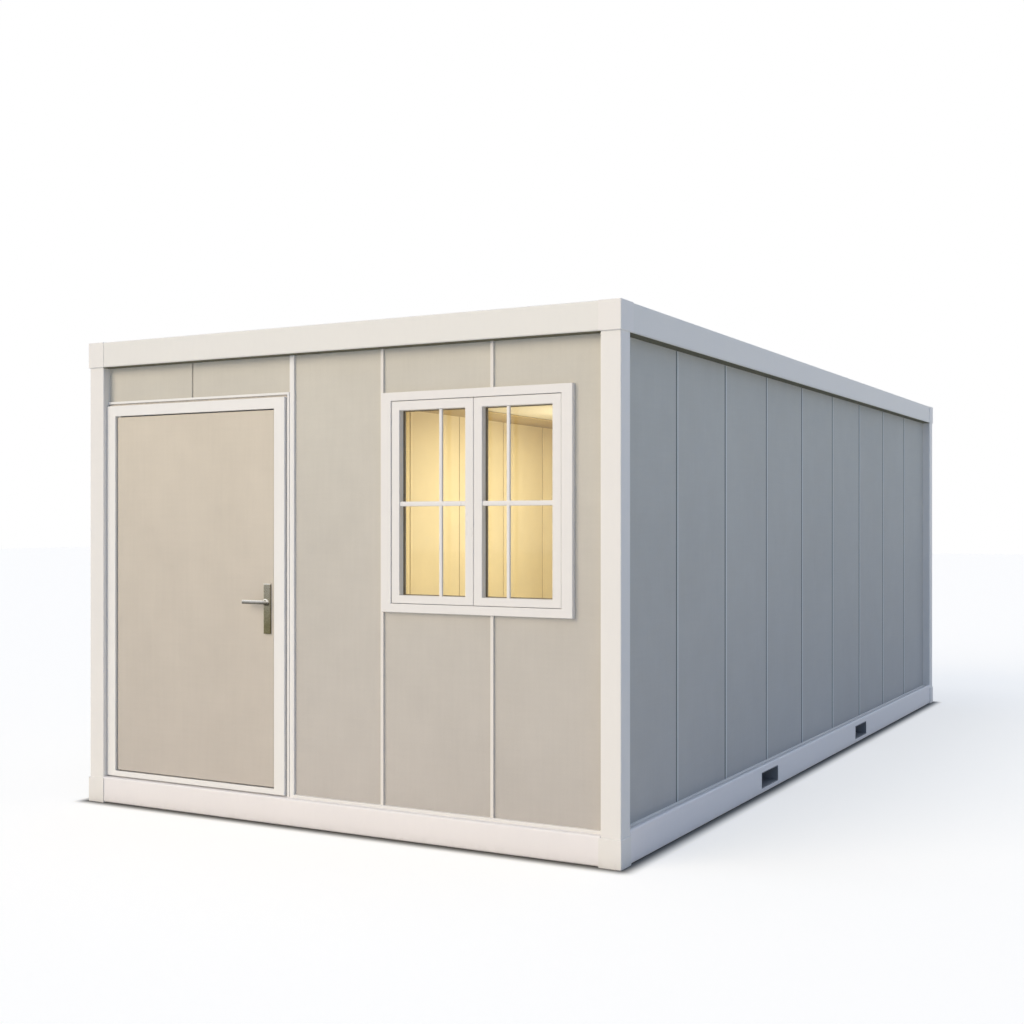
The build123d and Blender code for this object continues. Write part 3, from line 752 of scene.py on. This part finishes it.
def rounded(width: float, depth: float, radius: float, steps: int = 3) -> Points:
    """The outline of a rounded rectangle that starts at the origin.

    Each corner is a quarter circle: centre plus radius times (cos, sin) of the angle.

    Args:
        width: Its size along the first axis.
        depth: Its size along the second axis.
        radius: The corners' radius.
        steps: How many chords make a corner.

    Returns:
        Its points in order, anticlockwise.
    """
    angles = np.linspace(0, math.pi / 2, steps + 1)
    turns = np.arange(4)[:, None] * (math.pi / 2) + angles[None, :]
    middle_x = np.array([width - radius, radius, radius, width - radius])[:, None]
    middle_y = np.array([depth - radius, depth - radius, radius, radius])[:, None]
    x = middle_x + radius * np.cos(turns)
    y = middle_y + radius * np.sin(turns)
    return np.stack([x, y], axis=-1).reshape(-1, 2)


def loop_points(rectangle: Rectangle, outline: Points, plane: Plane, level: float) -> Points:
    """A moulding's points, carried round a rectangle with mitred corners.

    Point j of corner i lies at the corner, moved inwards along both sides of the corner by
    the outline's first value and across the rectangle's plane by its second value.

    Args:
        rectangle: Low and high of the first side, then low and high of the second.
        outline: The moulding's section.
        plane: How the rectangle stands.
        level: Where its plane lies: a Y if it is upright and a Z if it is level.

    Returns:
        The points, by corner and by place in the outline.
    """
    low_a, high_a, low_b, high_b = rectangle
    corners = np.array([[low_a, low_b], [high_a, low_b], [high_a, high_b], [low_a, high_b]])
    inwards = np.array([[1, 1], [-1, 1], [-1, -1], [1, -1]])
    flat = corners[:, None, :] + inwards[:, None, :] * outline[None, :, :1]
    across = np.broadcast_to(level + outline[None, :, 1:], (4, len(outline), 1))
    if plane is Plane.UPRIGHT:
        return np.concatenate([flat[..., :1], across, flat[..., 1:]], axis=-1)
    return np.concatenate([flat, across], axis=-1)


def outwards(points: Points, faces: Faces) -> Faces:
    """Turn a shell's faces to point outwards.

    The signed volume about the shell's middle is the sum over the faces of corner one dot
    the cross of two others: where it is negative, the faces' order is reversed.

    Args:
        points: The shell's points, one row each.
        faces: Its faces.

    Returns:
        The faces, all pointing outwards.
    """
    a, b, c, d = ((points - points.mean(axis=0))[faces[:, k]] for k in range(4))
    volume = np.einsum("ij,ij->", a, np.cross(b, c) + np.cross(c, d))
    return faces if volume >= 0 else faces[:, ::-1]


def moulding(rectangle: Rectangle, outline: Points, plane: Plane, level: float) -> Shell:
    """One closed moulding round a rectangle.

    Args:
        rectangle: The rectangle it follows.
        outline: Its section.
        plane: How the rectangle stands.
        level: Where its plane lies.

    Returns:
        The moulding.
    """
    points = loop_points(rectangle, outline, plane, level).reshape(-1, 3)
    return Shell(points, list(outwards(points, grid_faces(4, len(outline), wrap_rows=True))))


def capped(rings: Points) -> Shell:
    """A tube of rings, closed at both ends by a flat face.

    Args:
        rings: Its points, by ring and by place in the ring.

    Returns:
        The closed shell.
    """
    count, sides = rings.shape[:2]
    points = rings.reshape(-1, 3)
    walls = outwards(points, grid_faces(count, sides, wrap_rows=False))
    first = np.arange(sides)
    last = first + (count - 1) * sides
    reversed_walls = walls[0, 1] != sides
    ends = [first[::-1], last] if reversed_walls else [first, last[::-1]]
    return Shell(points, [*walls, *ends])


def bar(start: Vector, end: Vector, outline: Points, across: Vector, inwards: Vector = ALONG) -> Shell:
    """A straight bar with closed ends.

    Point j of an end lies at that end, moved by the outline's first value across the bar
    and by its second value inwards.

    Args:
        start: Where the bar starts.
        end: Where it ends.
        outline: Its section.
        across: The direction of the outline's first value.
        inwards: The direction of its second value.

    Returns:
        The bar.
    """
    shift = outline[:, :1] * np.array(across) + outline[:, 1:] * np.array(inwards)
    return capped(np.array([start, end])[:, None, :] + shift[None, :, :])


def turned(centre: Vector, radii: Points, heights: Points, away: Vector, sides: int) -> Shell:
    """A turned solid: rings of points at given radii and heights, closed at both ends.

    Point j of ring i lies at radius i times (cos, sin) of j turns over the number of
    sides, square to the axis, and at height i along it.

    Args:
        centre: Where the axis starts.
        radii: The rings' radii.
        heights: How far along the axis they lie.
        away: The axis.
        sides: How many points a ring has.

    Returns:
        The solid.
    """
    first = np.array(away.orthogonal().normalized())
    second = np.cross(np.array(away), first)
    turns = np.arange(sides) * (2 * math.pi / sides)
    spoke = np.cos(turns)[:, None] * first + np.sin(turns)[:, None] * second
    axis = np.array(centre) + heights[:, None, None] * np.array(away)
    return capped(axis + radii[:, None, None] * spoke[None, :, :])


@dataclass
class SubAssembly:
    """A part of the cabin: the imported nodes, and every finish to dress them in."""

    nodes: Mapping[str, bpy.types.Object]
    finishes: Finishes

    def dress(self, material: Material, *starts: str) -> None:
        """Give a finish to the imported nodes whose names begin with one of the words.

        Args:
            material: The finish.
            starts: The words.
        """
        for name in sorted(self.nodes):
            if not name.startswith(starts):
                continue
            part = self.nodes[name]
            if not part.material_slots:
                part.data.materials.append(material)
            for slot in part.material_slots:
                slot.material = material
            LOG.info("dressed %s in %s", name, material.name)


@dataclass
class SteelFrame(SubAssembly):
    """The corner posts with their blocks and caps, all edge beams and a dark strip at the eaves that paints
    the shade under the roof beams.
    """

    eaves_shade_inset: float = 0.004
    seal_and_eaves_shade_height: float = 0.0035
    eaves_shade_rounding: float = 0.0015

    def build(self) -> None:
        """Paint the frame white and its underside parts grey, and paint the shade under the eaves with a
        dark strip.
        """
        self.dress(self.finishes.frame, "corner_", "base_channels")
        self.dress(self.finishes.beam, "roof_beam")
        self.dress(self.finishes.base, "base_beam", "pocket_bridges")
        self.dress(self.finishes.primer, "floor_joists", "pocket_sides", "pocket_covers")
        self.add_eaves_shade_strip()

    def add_eaves_shade_strip(self) -> None:
        """A dark strip under each roof beam, from near its outer face to the wall, that paints the beam's
        shaded underside.
        """
        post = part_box("corner_post_front_right")
        beam_side, beam_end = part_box("roof_beam_right"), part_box("roof_beam_rear")
        level = beam_side[0].z - self.seal_and_eaves_shade_height
        runs = [
            (beam_side[1].x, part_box("wall_right")[1].x, -post[1].y, ACROSS, ALONG),
            (beam_end[1].y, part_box("wall_rear")[1].y, post[0].x, ALONG, ACROSS),
        ]
        shells = []
        for outer, wall, reach, out, along in runs:
            outline = rounded(outer - wall - self.eaves_shade_inset, self.seal_and_eaves_shade_height, self.eaves_shade_rounding)
            for side in SIDES:
                middle = out * (side * wall) + UP * level
                shells.append(bar(middle - along * reach, middle + along * reach, outline, out * side, UP))
        add_piece("eaves_shade_strip", shells, self.finishes.eaves)


@dataclass
class Walls(SubAssembly):
    """The insulated panels on all sides, with the strips at the front joints."""

    side_panels: int = 9
    joint_half: float = 0.0025
    joint_shade_width: float = 0.011
    joint_shade_proud: float = 0.001
    joint_highlight_width: float = 0.013
    joint_highlight_proud: float = 0.0025
    bury: float = 0.0006
    foot_tuck: float = 0.002
    head_gap: float = 0.005
    most_rounding: float = 0.001
    rounding_share: float = 0.4

    def build(self) -> None:
        """Coat the panels and paint the strips; on the long walls' joints lay a dark strip that paints their
        shade and a light strip that paints a highlight.
        """
        self.dress(self.finishes.panel, "wall_rear", "front_panel", "panels_over")
        self.dress(self.finishes.side_panel_shade_copy, "wall_left", "wall_right")
        self.dress(self.finishes.strip, "front_joint_strips")
        self.dress(self.finishes.trim, "door_mullion")
        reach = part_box("wall_right")[1].y
        joints = -reach + 2 * reach / self.side_panels * np.arange(1, self.side_panels)
        # Dark strips paint the shade in each joint; light strips paint a highlight beside it.
        joint_shade_starts, edges = joints + (self.joint_half - self.joint_shade_width), joints + self.joint_half
        for name, starts, width, proud, material in (
            ("side_joint_shade_strips", joint_shade_starts, self.joint_shade_width, self.joint_shade_proud, self.finishes.joint),
            ("side_joint_highlight_strips", edges, self.joint_highlight_width, self.joint_highlight_proud, self.finishes.edge),
        ):
            shells = [self.joint_bar(side, start, width, proud) for side in SIDES for start in starts]
            add_piece(name, shells, material)

    def joint_bar(self, side: float, start: float, width: float, proud: float) -> Shell:
        """One upright bar on a long wall, from the channel at the foot to the eaves.

        Args:
            side: -1 for the left wall and 1 for the right one.
            start: Its edge nearer the door wall.
            width: Its width along the wall.
            proud: How far it stands out.

        Returns:
            The bar.
        """
        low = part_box("base_channels")[1].z - self.foot_tuck
        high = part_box("roof_beam_right")[0].z - self.head_gap
        outline = rounded(width, proud + self.bury, min(self.rounding_share * proud, self.most_rounding))
        foot = Vector((side * (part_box("wall_right")[1].x - self.bury), start, low))
        return bar(foot, Vector((foot.x, start, high)), outline, ALONG, ACROSS * side)


@dataclass
class DoorSet(SubAssembly):
    """The door with its frame, its lever and the seal that it closes against."""

    stop_cover: float = 0.009
    stop_behind_leaf: float = 0.006
    seal_width: float = 0.007
    seal_and_eaves_shade_height: float = 0.0038
    seal_chords: int = 8
    groove_side: float = 0.008
    groove_head: float = 0.011
    sealant_depth: float = 0.004
    sealant_edge: float = 0.0015
    sealant_off_wall: float = 0.0015
    sealant_foot: float = 0.03
    spindle_in_plate: float = 0.019
    rose: float = 0.0178
    rose_depth: float = 0.012
    rose_gap: float = 0.0006
    rose_radii: tuple[float, ...] = (0.96, 1.0, 1.0, 0.9, 0.72)
    rose_heights: tuple[float, ...] = (0.0, 0.12, 0.6, 0.88, 1.0)
    rose_sides: int = 28

    def build(self) -> None:
        """Dress the door's nodes, and add its seal, the sealant beside it and the lever's rose."""
        self.dress(self.finishes.trim, "door_frame", "door_surround")
        self.dress(self.finishes.door, "door_leaf")
        self.dress(self.finishes.plate, "handle_plates")
        self.dress(self.finishes.lever, "lever_handle", "door_pivots")
        self.add_seal()
        self.add_sealant()
        self.add_rose()

    def add_sealant(self) -> None:
        """A bead in the groove between the door frame and the lip round it, at both sides and over it."""
        low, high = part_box("door_frame")
        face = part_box("front_panel_right")[0].y - self.sealant_off_wall
        upright = rounded(self.groove_side, self.sealant_depth, self.sealant_edge)
        level = rounded(self.groove_head, self.sealant_depth, self.sealant_edge)
        shells = []
        for x in (low.x - self.groove_side, high.x):
            foot = Vector((x, face, low.z + self.sealant_foot))
            shells.append(bar(foot, Vector((x, face, high.z + self.groove_head)), upright, ACROSS, -ALONG))
        left, right = Vector((low.x, face, high.z)), Vector((high.x, face, high.z))
        shells.append(bar(left, right, level, UP, -ALONG))
        add_piece("door_sealant", shells, self.finishes.sealant)

    def add_rose(self) -> None:
        """The turned rose round the lever's spindle, close in front of the plate."""
        lever_low, lever_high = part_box("lever_handle")
        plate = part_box("handle_plates")[0]
        height = (lever_low.z + lever_high.z) / 2
        centre = Vector((plate.x + self.spindle_in_plate, plate.y - self.rose_gap, height))
        radii, heights = self.rose * np.array(self.rose_radii), self.rose_depth * np.array(self.rose_heights)
        rose = turned(centre, radii, heights, -ALONG, self.rose_sides)
        add_piece("lever_rose", [rose], self.finishes.lever, Body.LEVER)

    def add_seal(self) -> None:
        """A soft bead round the stop, just behind the closed leaf's edges.

        Its section is a half ellipse: width times cosine, height times sine.
        """
        low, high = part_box("door_leaf")
        half = self.seal_width / 2
        middle = self.stop_cover / 2
        turns = np.linspace(0.0, math.pi, self.seal_chords + 1)
        outline = np.stack([middle - half * np.cos(turns), -self.seal_and_eaves_shade_height * np.sin(turns)], axis=-1)
        rectangle = (low.x, high.x, low.z, high.z)
        seal = moulding(rectangle, outline, Plane.UPRIGHT, high.y + self.stop_behind_leaf)
        add_piece("door_seal", [seal], self.finishes.seal, smooth_under=60.0)


@dataclass
class WindowSet(SubAssembly):
    """The window: casing, two sashes, glazing bars, gaskets and panes."""

    stile: float = 0.043
    head: float = 0.043
    rail: float = 0.037
    cross_bar: float = 0.0225
    upright_bar: float = 0.016
    bar_depth: float = 0.014
    bar_set_back: float = 0.006
    bar_edge: float = 0.003
    upright_thinner: float = 0.001
    upright_set_back: float = 0.0005
    cross_share: float = 0.494
    upright_left_share: float = 0.622
    upright_right_share: float = 0.368
    gasket: float = 0.0035
    gasket_depth: float = 0.012
    gasket_shares: tuple[tuple[float, float], ...] = ((0, 1), (0.6, 0.9), (1, 0.3), (1, 0), (0, 0))
    bury: float = 0.001

    def build(self) -> None:
        """Dress the window's nodes and add what lies in its sashes."""
        self.dress(self.finishes.window, "window_casing", "window_sash")
        self.dress(self.finishes.glass, "window_glass")
        self.add_bars("left", self.upright_left_share)
        self.add_bars("right", self.upright_right_share)
        self.add_gasket("left")
        self.add_gasket("right")

    def light(self, side: str) -> Rectangle:
        """The clear opening inside a sash.

        Args:
            side: Which sash.

        Returns:
            Its low and high X and its low and high Z.
        """
        low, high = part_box(f"window_sash_{side}")
        return (low.x + self.stile, high.x - self.stile, low.z + self.rail, high.z - self.head)

    def add_bars(self, side: str, upright_share: float) -> None:
        """The level bar near mid height and the upright bar nearer the meeting stile.

        Args:
            side: Which sash.
            upright_share: How far across the light its upright bar stands.
        """
        x_low, x_high, z_low, z_high = self.light(side)
        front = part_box(f"window_sash_{side}")[0].y + self.bar_set_back
        z_bar = z_low + self.cross_share * (z_high - z_low)
        x_bar = x_low + upright_share * (x_high - x_low)
        section = rounded(self.cross_bar, self.bar_depth, self.bar_edge) - [self.cross_bar / 2, 0.0]
        start, end = (Vector((x, front, z_bar)) for x in (x_low - self.bury, x_high + self.bury))
        level = bar(start, end, section, UP)
        depth, back = self.bar_depth - self.upright_thinner, front + self.upright_set_back
        section = rounded(self.upright_bar, depth, self.bar_edge) - [self.upright_bar / 2, 0.0]
        start, end = (Vector((x_bar, back, z)) for z in (z_low - self.bury, z_high + self.bury))
        upright = bar(start, end, section, ACROSS)
        add_piece(f"glazing_bars_{side}", [level, upright], self.finishes.window)

    def add_gasket(self, side: str) -> None:
        """The wedge of dark rubber that holds the pane all round.

        Args:
            side: Which sash.
        """
        outline = np.array(self.gasket_shares) * [self.gasket, -self.gasket_depth]
        gasket = moulding(self.light(side), outline, Plane.UPRIGHT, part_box("window_glass")[0].y)
        add_piece(f"glazing_gasket_{side}", [gasket], self.finishes.gasket)


@dataclass
class Room(SubAssembly):
    """What shows through the glass and the open door: floor, ceiling, lining and cornice."""

    cornice_width: float = 0.375
    cornice_at_wall: float = 0.012
    cornice_at_edge: float = 0.005
    cornice_lip: float = 0.003
    lip_flat: float = 0.012
    lip_foot: float = 0.016
    board_pitch: float = 0.6825
    board_joint: float = -0.163
    board_gap: float = 0.002
    board_depth: float = 0.003
    cover_width: float = 0.024
    cover_depth: float = 0.0045
    cover_edge: float = 0.0012
    cover_shade_width: float = 0.032
    cover_shade_depth: float = 0.0012
    rounding_share: float = 0.4
    bury: float = 0.0005

    def build(self) -> None:
        """Finish the floor and the ceiling, line the long walls and run the cornice."""
        self.dress(self.finishes.deck, "floor_deck")
        self.dress(self.finishes.ceiling, "ceiling")
        self.add_cornice()
        self.add_lining()

    def add_cornice(self) -> None:
        """A broad, slightly sloped board under the ceiling's edge, with a lip along it."""
        x_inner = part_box("wall_right")[0].x
        y_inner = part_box("wall_rear")[0].y
        at_wall, at_edge = -self.cornice_at_wall, -self.cornice_at_edge
        outline = np.array([
            [0.0, 0.0],
            [0.0, at_wall],
            [self.lip_flat, at_wall],
            [self.lip_foot, at_wall + self.cornice_lip],
            [self.cornice_width - self.lip_foot, at_edge],
            [self.cornice_width - self.lip_flat, at_edge - self.cornice_lip],
            [self.cornice_width, at_edge - self.cornice_lip],
            [self.cornice_width, 0.0],
        ])
        rectangle = (-x_inner, x_inner, -y_inner, y_inner)
        cornice = moulding(rectangle, outline, Plane.LEVEL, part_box("roof_beam_right")[0].z)
        add_piece("room_cornice", [cornice], self.finishes.cornice)

    def upright(self, side: float, start: float, width: float, depth: float, behind: float = 0.0) -> Shell:
        """One board or strip on a long wall, from the deck up to the cornice.

        Args:
            side: -1 for the left wall and 1 for the right one.
            start: Its edge nearer the door wall.
            width: Its width along the wall.
            depth: Its thickness.
            behind: How thick the board is that it lies on.

        Returns:
            The board.
        """
        low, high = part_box("floor_deck")[1].z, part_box("roof_beam_right")[0].z - self.cornice_at_wall
        outline = rounded(width, depth, min(self.cover_edge, depth * self.rounding_share))
        foot = Vector((side * (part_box("wall_right")[0].x - behind), start, low))
        return bar(foot, Vector((foot.x, start, high)), outline, ALONG, ACROSS * -side)

    def add_lining(self) -> None:
        """Boards along both long walls, with a cover strip over each joint on a wider dark strip whose edges
        paint the shade lines beside the cover.

        Joint k stands at the first joint plus k times the pitch.
        """
        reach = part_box("wall_rear")[0].y
        most = math.ceil(2 * reach / self.board_pitch)
        joints = self.board_joint + self.board_pitch * np.arange(-most, most + 1)
        joints = joints[np.abs(joints) < reach - self.cover_shade_width]
        edges = np.concatenate([[-reach], joints, [reach]])
        on_board = self.board_depth - self.bury
        boards, cover_shades = [], []
        for side in SIDES:
            for start, end in zip(edges[:-1], edges[1:]):
                width = end - start - self.board_gap
                boards.append(self.upright(side, start + self.board_gap / 2, width, self.board_depth))
            for joint in joints:
                cover_start, cover_shade_start = joint - self.cover_width / 2, joint - self.cover_shade_width / 2
                boards.append(self.upright(side, cover_start, self.cover_width, self.cover_depth, on_board))
                cover_shades.append(self.upright(side, cover_shade_start, self.cover_shade_width, self.cover_shade_depth, on_board))
        add_piece("room_lining", boards, self.finishes.lining)
        add_piece("room_cover_shades", cover_shades, self.finishes.seam)


@dataclass
class Roof(SubAssembly):
    """The ribbed sheet and the capped screws along its ribs."""

    rib_pitch: float = 0.42
    rib_foot: float = 0.078
    rows: int = 6
    edge: float = 0.16
    washer: float = 0.009
    washer_height: float = 0.0015
    cap: float = 0.0055
    cap_foot: float = 0.002
    cap_height: float = 0.006
    cap_side_share: float = 0.75
    cap_top_share: float = 0.55
    screw_sides: int = 10

    def build(self) -> None:
        """Coat the sheet and set its screws."""
        self.dress(self.finishes.roof, "roof_sheet")
        low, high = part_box("roof_sheet")
        count = int((high.y - low.y - self.rib_foot) // self.rib_pitch) + 1
        y_places = (np.arange(count) - (count - 1) / 2) * self.rib_pitch
        x_places = np.linspace(low.x + self.edge, high.x - self.edge, self.rows)
        screws = [self.screw(Vector((x, y, high.z))) for x in x_places for y in y_places]
        add_piece("roof_screws", screws, self.finishes.roof)

    def screw(self, foot: Vector) -> Shell:
        """One capped screw on its washer.

        Args:
            foot: Where it stands on a rib's crest.

        Returns:
            The screw.
        """
        radii = np.array([self.washer, self.washer, self.cap, self.cap, self.cap * self.cap_top_share])
        sides = self.cap_height * self.cap_side_share
        heights = np.array([0.0, self.washer_height, self.cap_foot, sides, self.cap_height])
        return turned(foot, radii, heights, UP, self.screw_sides)


@dataclass
class Studio:
    """The pale floor, the soft lights, the white surround and the camera."""

    focal_pixels: float = 1375.0
    image_pixels: float = 1024.0
    horizon_row: float = 523.5
    camera_place: Vector = Vector((3.891, -8.393, 1.458))
    turn_degrees: float = 28.62
    sensor: float = 36.0
    floor_reach: float = 60.0
    floor_tone: Rgb = (0.87, 0.845, 0.79)
    floor_glow: float = 0.5
    floor_light: float = 1.33
    floor_mirrored: float = 0.62
    shade_depth: float = 0.14
    shade_reach: float = 1.6
    shade_edge: float = 0.03
    contact_shadow_reach: float = 0.09
    contact_shadow_tone: float = 0.24
    sky: Rgb = (0.236, 0.322, 0.487)
    sun_colour: Rgb = (1.0, 0.84, 0.61)
    sun_strength: float = 2.21
    sun_from: Vector = Vector((-0.42, -0.80, 0.42))
    sun_spread: float = 50.0
    overhead_colour: Rgb = (0.93, 0.96, 1.0)
    overhead_strength: float = 0.55
    overhead_spread: float = 60.0
    lamp_colour: Rgb = (1.0, 0.95, 0.76)
    lamp_size: tuple[float, float] = (1.6, 4.4)
    lamp_drop: float = 0.06
    lamp_watts: float = 40.5
    glow_place: Vector = Vector((-0.3, 0.7, 1.85))
    glow_radius: float = 0.5
    glow_watts: float = 31.0

    def build(self) -> None:
        """Set up the floor, the surround, the lights and the camera."""
        self.add_floor()
        self.add_surround()
        self.add_lights()
        self.add_camera()
        bpy.context.scene.view_settings.view_transform = "Standard"

    def own_light(self, graph: Surface) -> Field:
        """How much of its own light the floor keeps: none under the cabin, less in its shade.

        The shade fades out over its reach behind and to the right, and over a third of it in front.

        Args:
            graph: The floor's graph.

        Returns:
            The share, from 0 to 1.
        """
        low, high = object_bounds()
        edge, reach = self.shade_edge, self.shade_reach
        # Painted shadow: the floor's own light fades beside and behind the cabin.
        shade = (1.0 - graph.x.eased(high.x, high.x + reach)) * (1.0 - graph.y.eased(high.y, high.y + reach))
        shade = shade * graph.x.eased(low.x, low.x + edge) * graph.y.eased(low.y, low.y + reach / 3)
        return (1.0 - self.covered(graph)) * (1.0 - shade * self.shade_depth)

    def covered(self, graph: Surface) -> Field:
        """Where the cabin stands on the floor, with a soft edge just beyond it.

        Args:
            graph: The floor's graph.

        Returns:
            1 under the cabin and 0 away from it.
        """
        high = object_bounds()[1]
        beside = abs(graph.x).eased(high.x, high.x + self.contact_shadow_reach)
        before = abs(graph.y).eased(high.y, high.y + self.contact_shadow_reach)
        return (1.0 - beside) * (1.0 - before)

    def add_floor(self) -> None:
        """A wide pale floor that stays near white to the eye and keeps the shadow.

        In gloss it shows darker than it does to the eye.
        """
        reach = self.floor_reach
        corners = [(-reach, -reach, 0.0), (reach, -reach, 0.0), (reach, reach, 0.0), (-reach, reach, 0.0)]
        mesh = bpy.data.meshes.new("studio_floor")
        mesh.from_pydata(corners, [], [[0, 1, 2, 3]])
        floor = bpy.data.objects.new("studio_floor", mesh)
        bpy.context.scene.collection.objects.link(floor)
        floor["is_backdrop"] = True
        graph = Surface("studio_floor")
        tone = graph.shaded(self.floor_tone, 1.0 + graph.noise(3.0) * 0.01)
        # Painted contact shadow: the floor's tone is darkened under the cabin and just beyond it.
        tone = graph.shaded(tone, 1.0 - self.covered(graph) * (1.0 - self.contact_shadow_tone))
        dull = graph.node("ShaderNodeBsdfDiffuse", None, {"Color": tone})
        glow, dim = (
            graph.node("ShaderNodeEmission", None, {"Color": WHITE, "Strength": strength})
            for strength in (self.floor_light, self.floor_mirrored)
        )
        share = graph.rays("Is Camera Ray", "Is Transmission Ray") * self.floor_glow * self.own_light(graph)
        direct = graph.layered(share, dull, glow)
        mesh.materials.append(graph.close(graph.layered(graph.rays("Is Glossy Ray"), direct, dim)))

    def add_surround(self) -> None:
        """White to the eye, and a cool soft light for the cabin."""
        bpy.context.scene.world = bpy.data.worlds.new("studio_surround")
        graph = Graph(bpy.context.scene.world)
        seen = graph.rays("Is Camera Ray", "Is Glossy Ray", "Is Transmission Ray")
        back = graph.node("ShaderNodeBackground", None, {"Color": graph.blend(seen, self.sky, WHITE)})
        graph.node("ShaderNodeOutputWorld", None, {"Surface": back.outputs[0]})

    def add_lights(self) -> None:
        """A broad warm key from the front left, a cool light from above and warm lamps in the room."""
        self.add_sun("key", self.sun_from, self.sun_strength, self.sun_colour, self.sun_spread)
        self.add_sun("overhead", UP, self.overhead_strength, self.overhead_colour, self.overhead_spread)
        low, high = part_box("ceiling")
        panel = bpy.data.lights.new("room_lamp", "AREA")
        panel.shape = "RECTANGLE"
        panel.size, panel.size_y = self.lamp_size
        panel.energy = self.lamp_watts
        ball = bpy.data.lights.new("room_glow", "POINT")
        ball.shadow_soft_size = self.glow_radius
        ball.energy = self.glow_watts
        overhead = Vector(((low.x + high.x) / 2, (low.y + high.y) / 2, low.z - self.lamp_drop))
        for light, place in ((panel, overhead), (ball, self.glow_place)):
            light.color = self.lamp_colour
            lamp = bpy.data.objects.new(light.name, light)
            lamp.location = place
            lamp.visible_camera = False
            lamp.visible_glossy = False
            lamp.visible_transmission = False
            bpy.context.scene.collection.objects.link(lamp)

    def add_sun(self, name: str, source: Vector, strength: float, colour: Rgb, spread: float) -> None:
        """A light without a place of its own, which gloss doesn't show.

        Args:
            name: Its name.
            source: The direction that it comes from.
            strength: Its power.
            colour: Its colour.
            spread: How wide it is, in degrees.
        """
        light = bpy.data.lights.new(name, "SUN")
        light.energy = strength
        light.color = colour
        light.angle = math.radians(spread)
        sun = bpy.data.objects.new(name, light)
        sun.rotation_euler = source.to_track_quat("Z", "Y").to_euler()
        sun.visible_glossy = False
        bpy.context.scene.collection.objects.link(sun)

    def add_camera(self) -> None:
        """A level camera at the photograph's place, with its horizon a little low."""
        data = bpy.data.cameras.new("camera")
        data.sensor_width = self.sensor
        data.lens = self.focal_pixels * self.sensor / self.image_pixels
        data.shift_y = (self.horizon_row - self.image_pixels / 2) / self.image_pixels
        data.clip_end = 4 * self.floor_reach
        camera = bpy.data.objects.new("camera", data)
        camera.location = self.camera_place
        camera.rotation_euler = (math.pi / 2, 0.0, math.radians(self.turn_degrees))
        bpy.context.scene.collection.objects.link(camera)
        bpy.context.scene.camera = camera


def main() -> None:
    """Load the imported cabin, dress it and put it in the studio."""
    logging.basicConfig(level=logging.INFO, format="%(name)s: %(message)s")
    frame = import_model()
    nodes = frame["nodes"]
    finishes = Finishes.mixed()
    for part in (SteelFrame, Walls, DoorSet, WindowSet, Room, Roof):
        part(nodes, finishes).build()
    Studio().build()


if __name__ == "__main__":
    main()
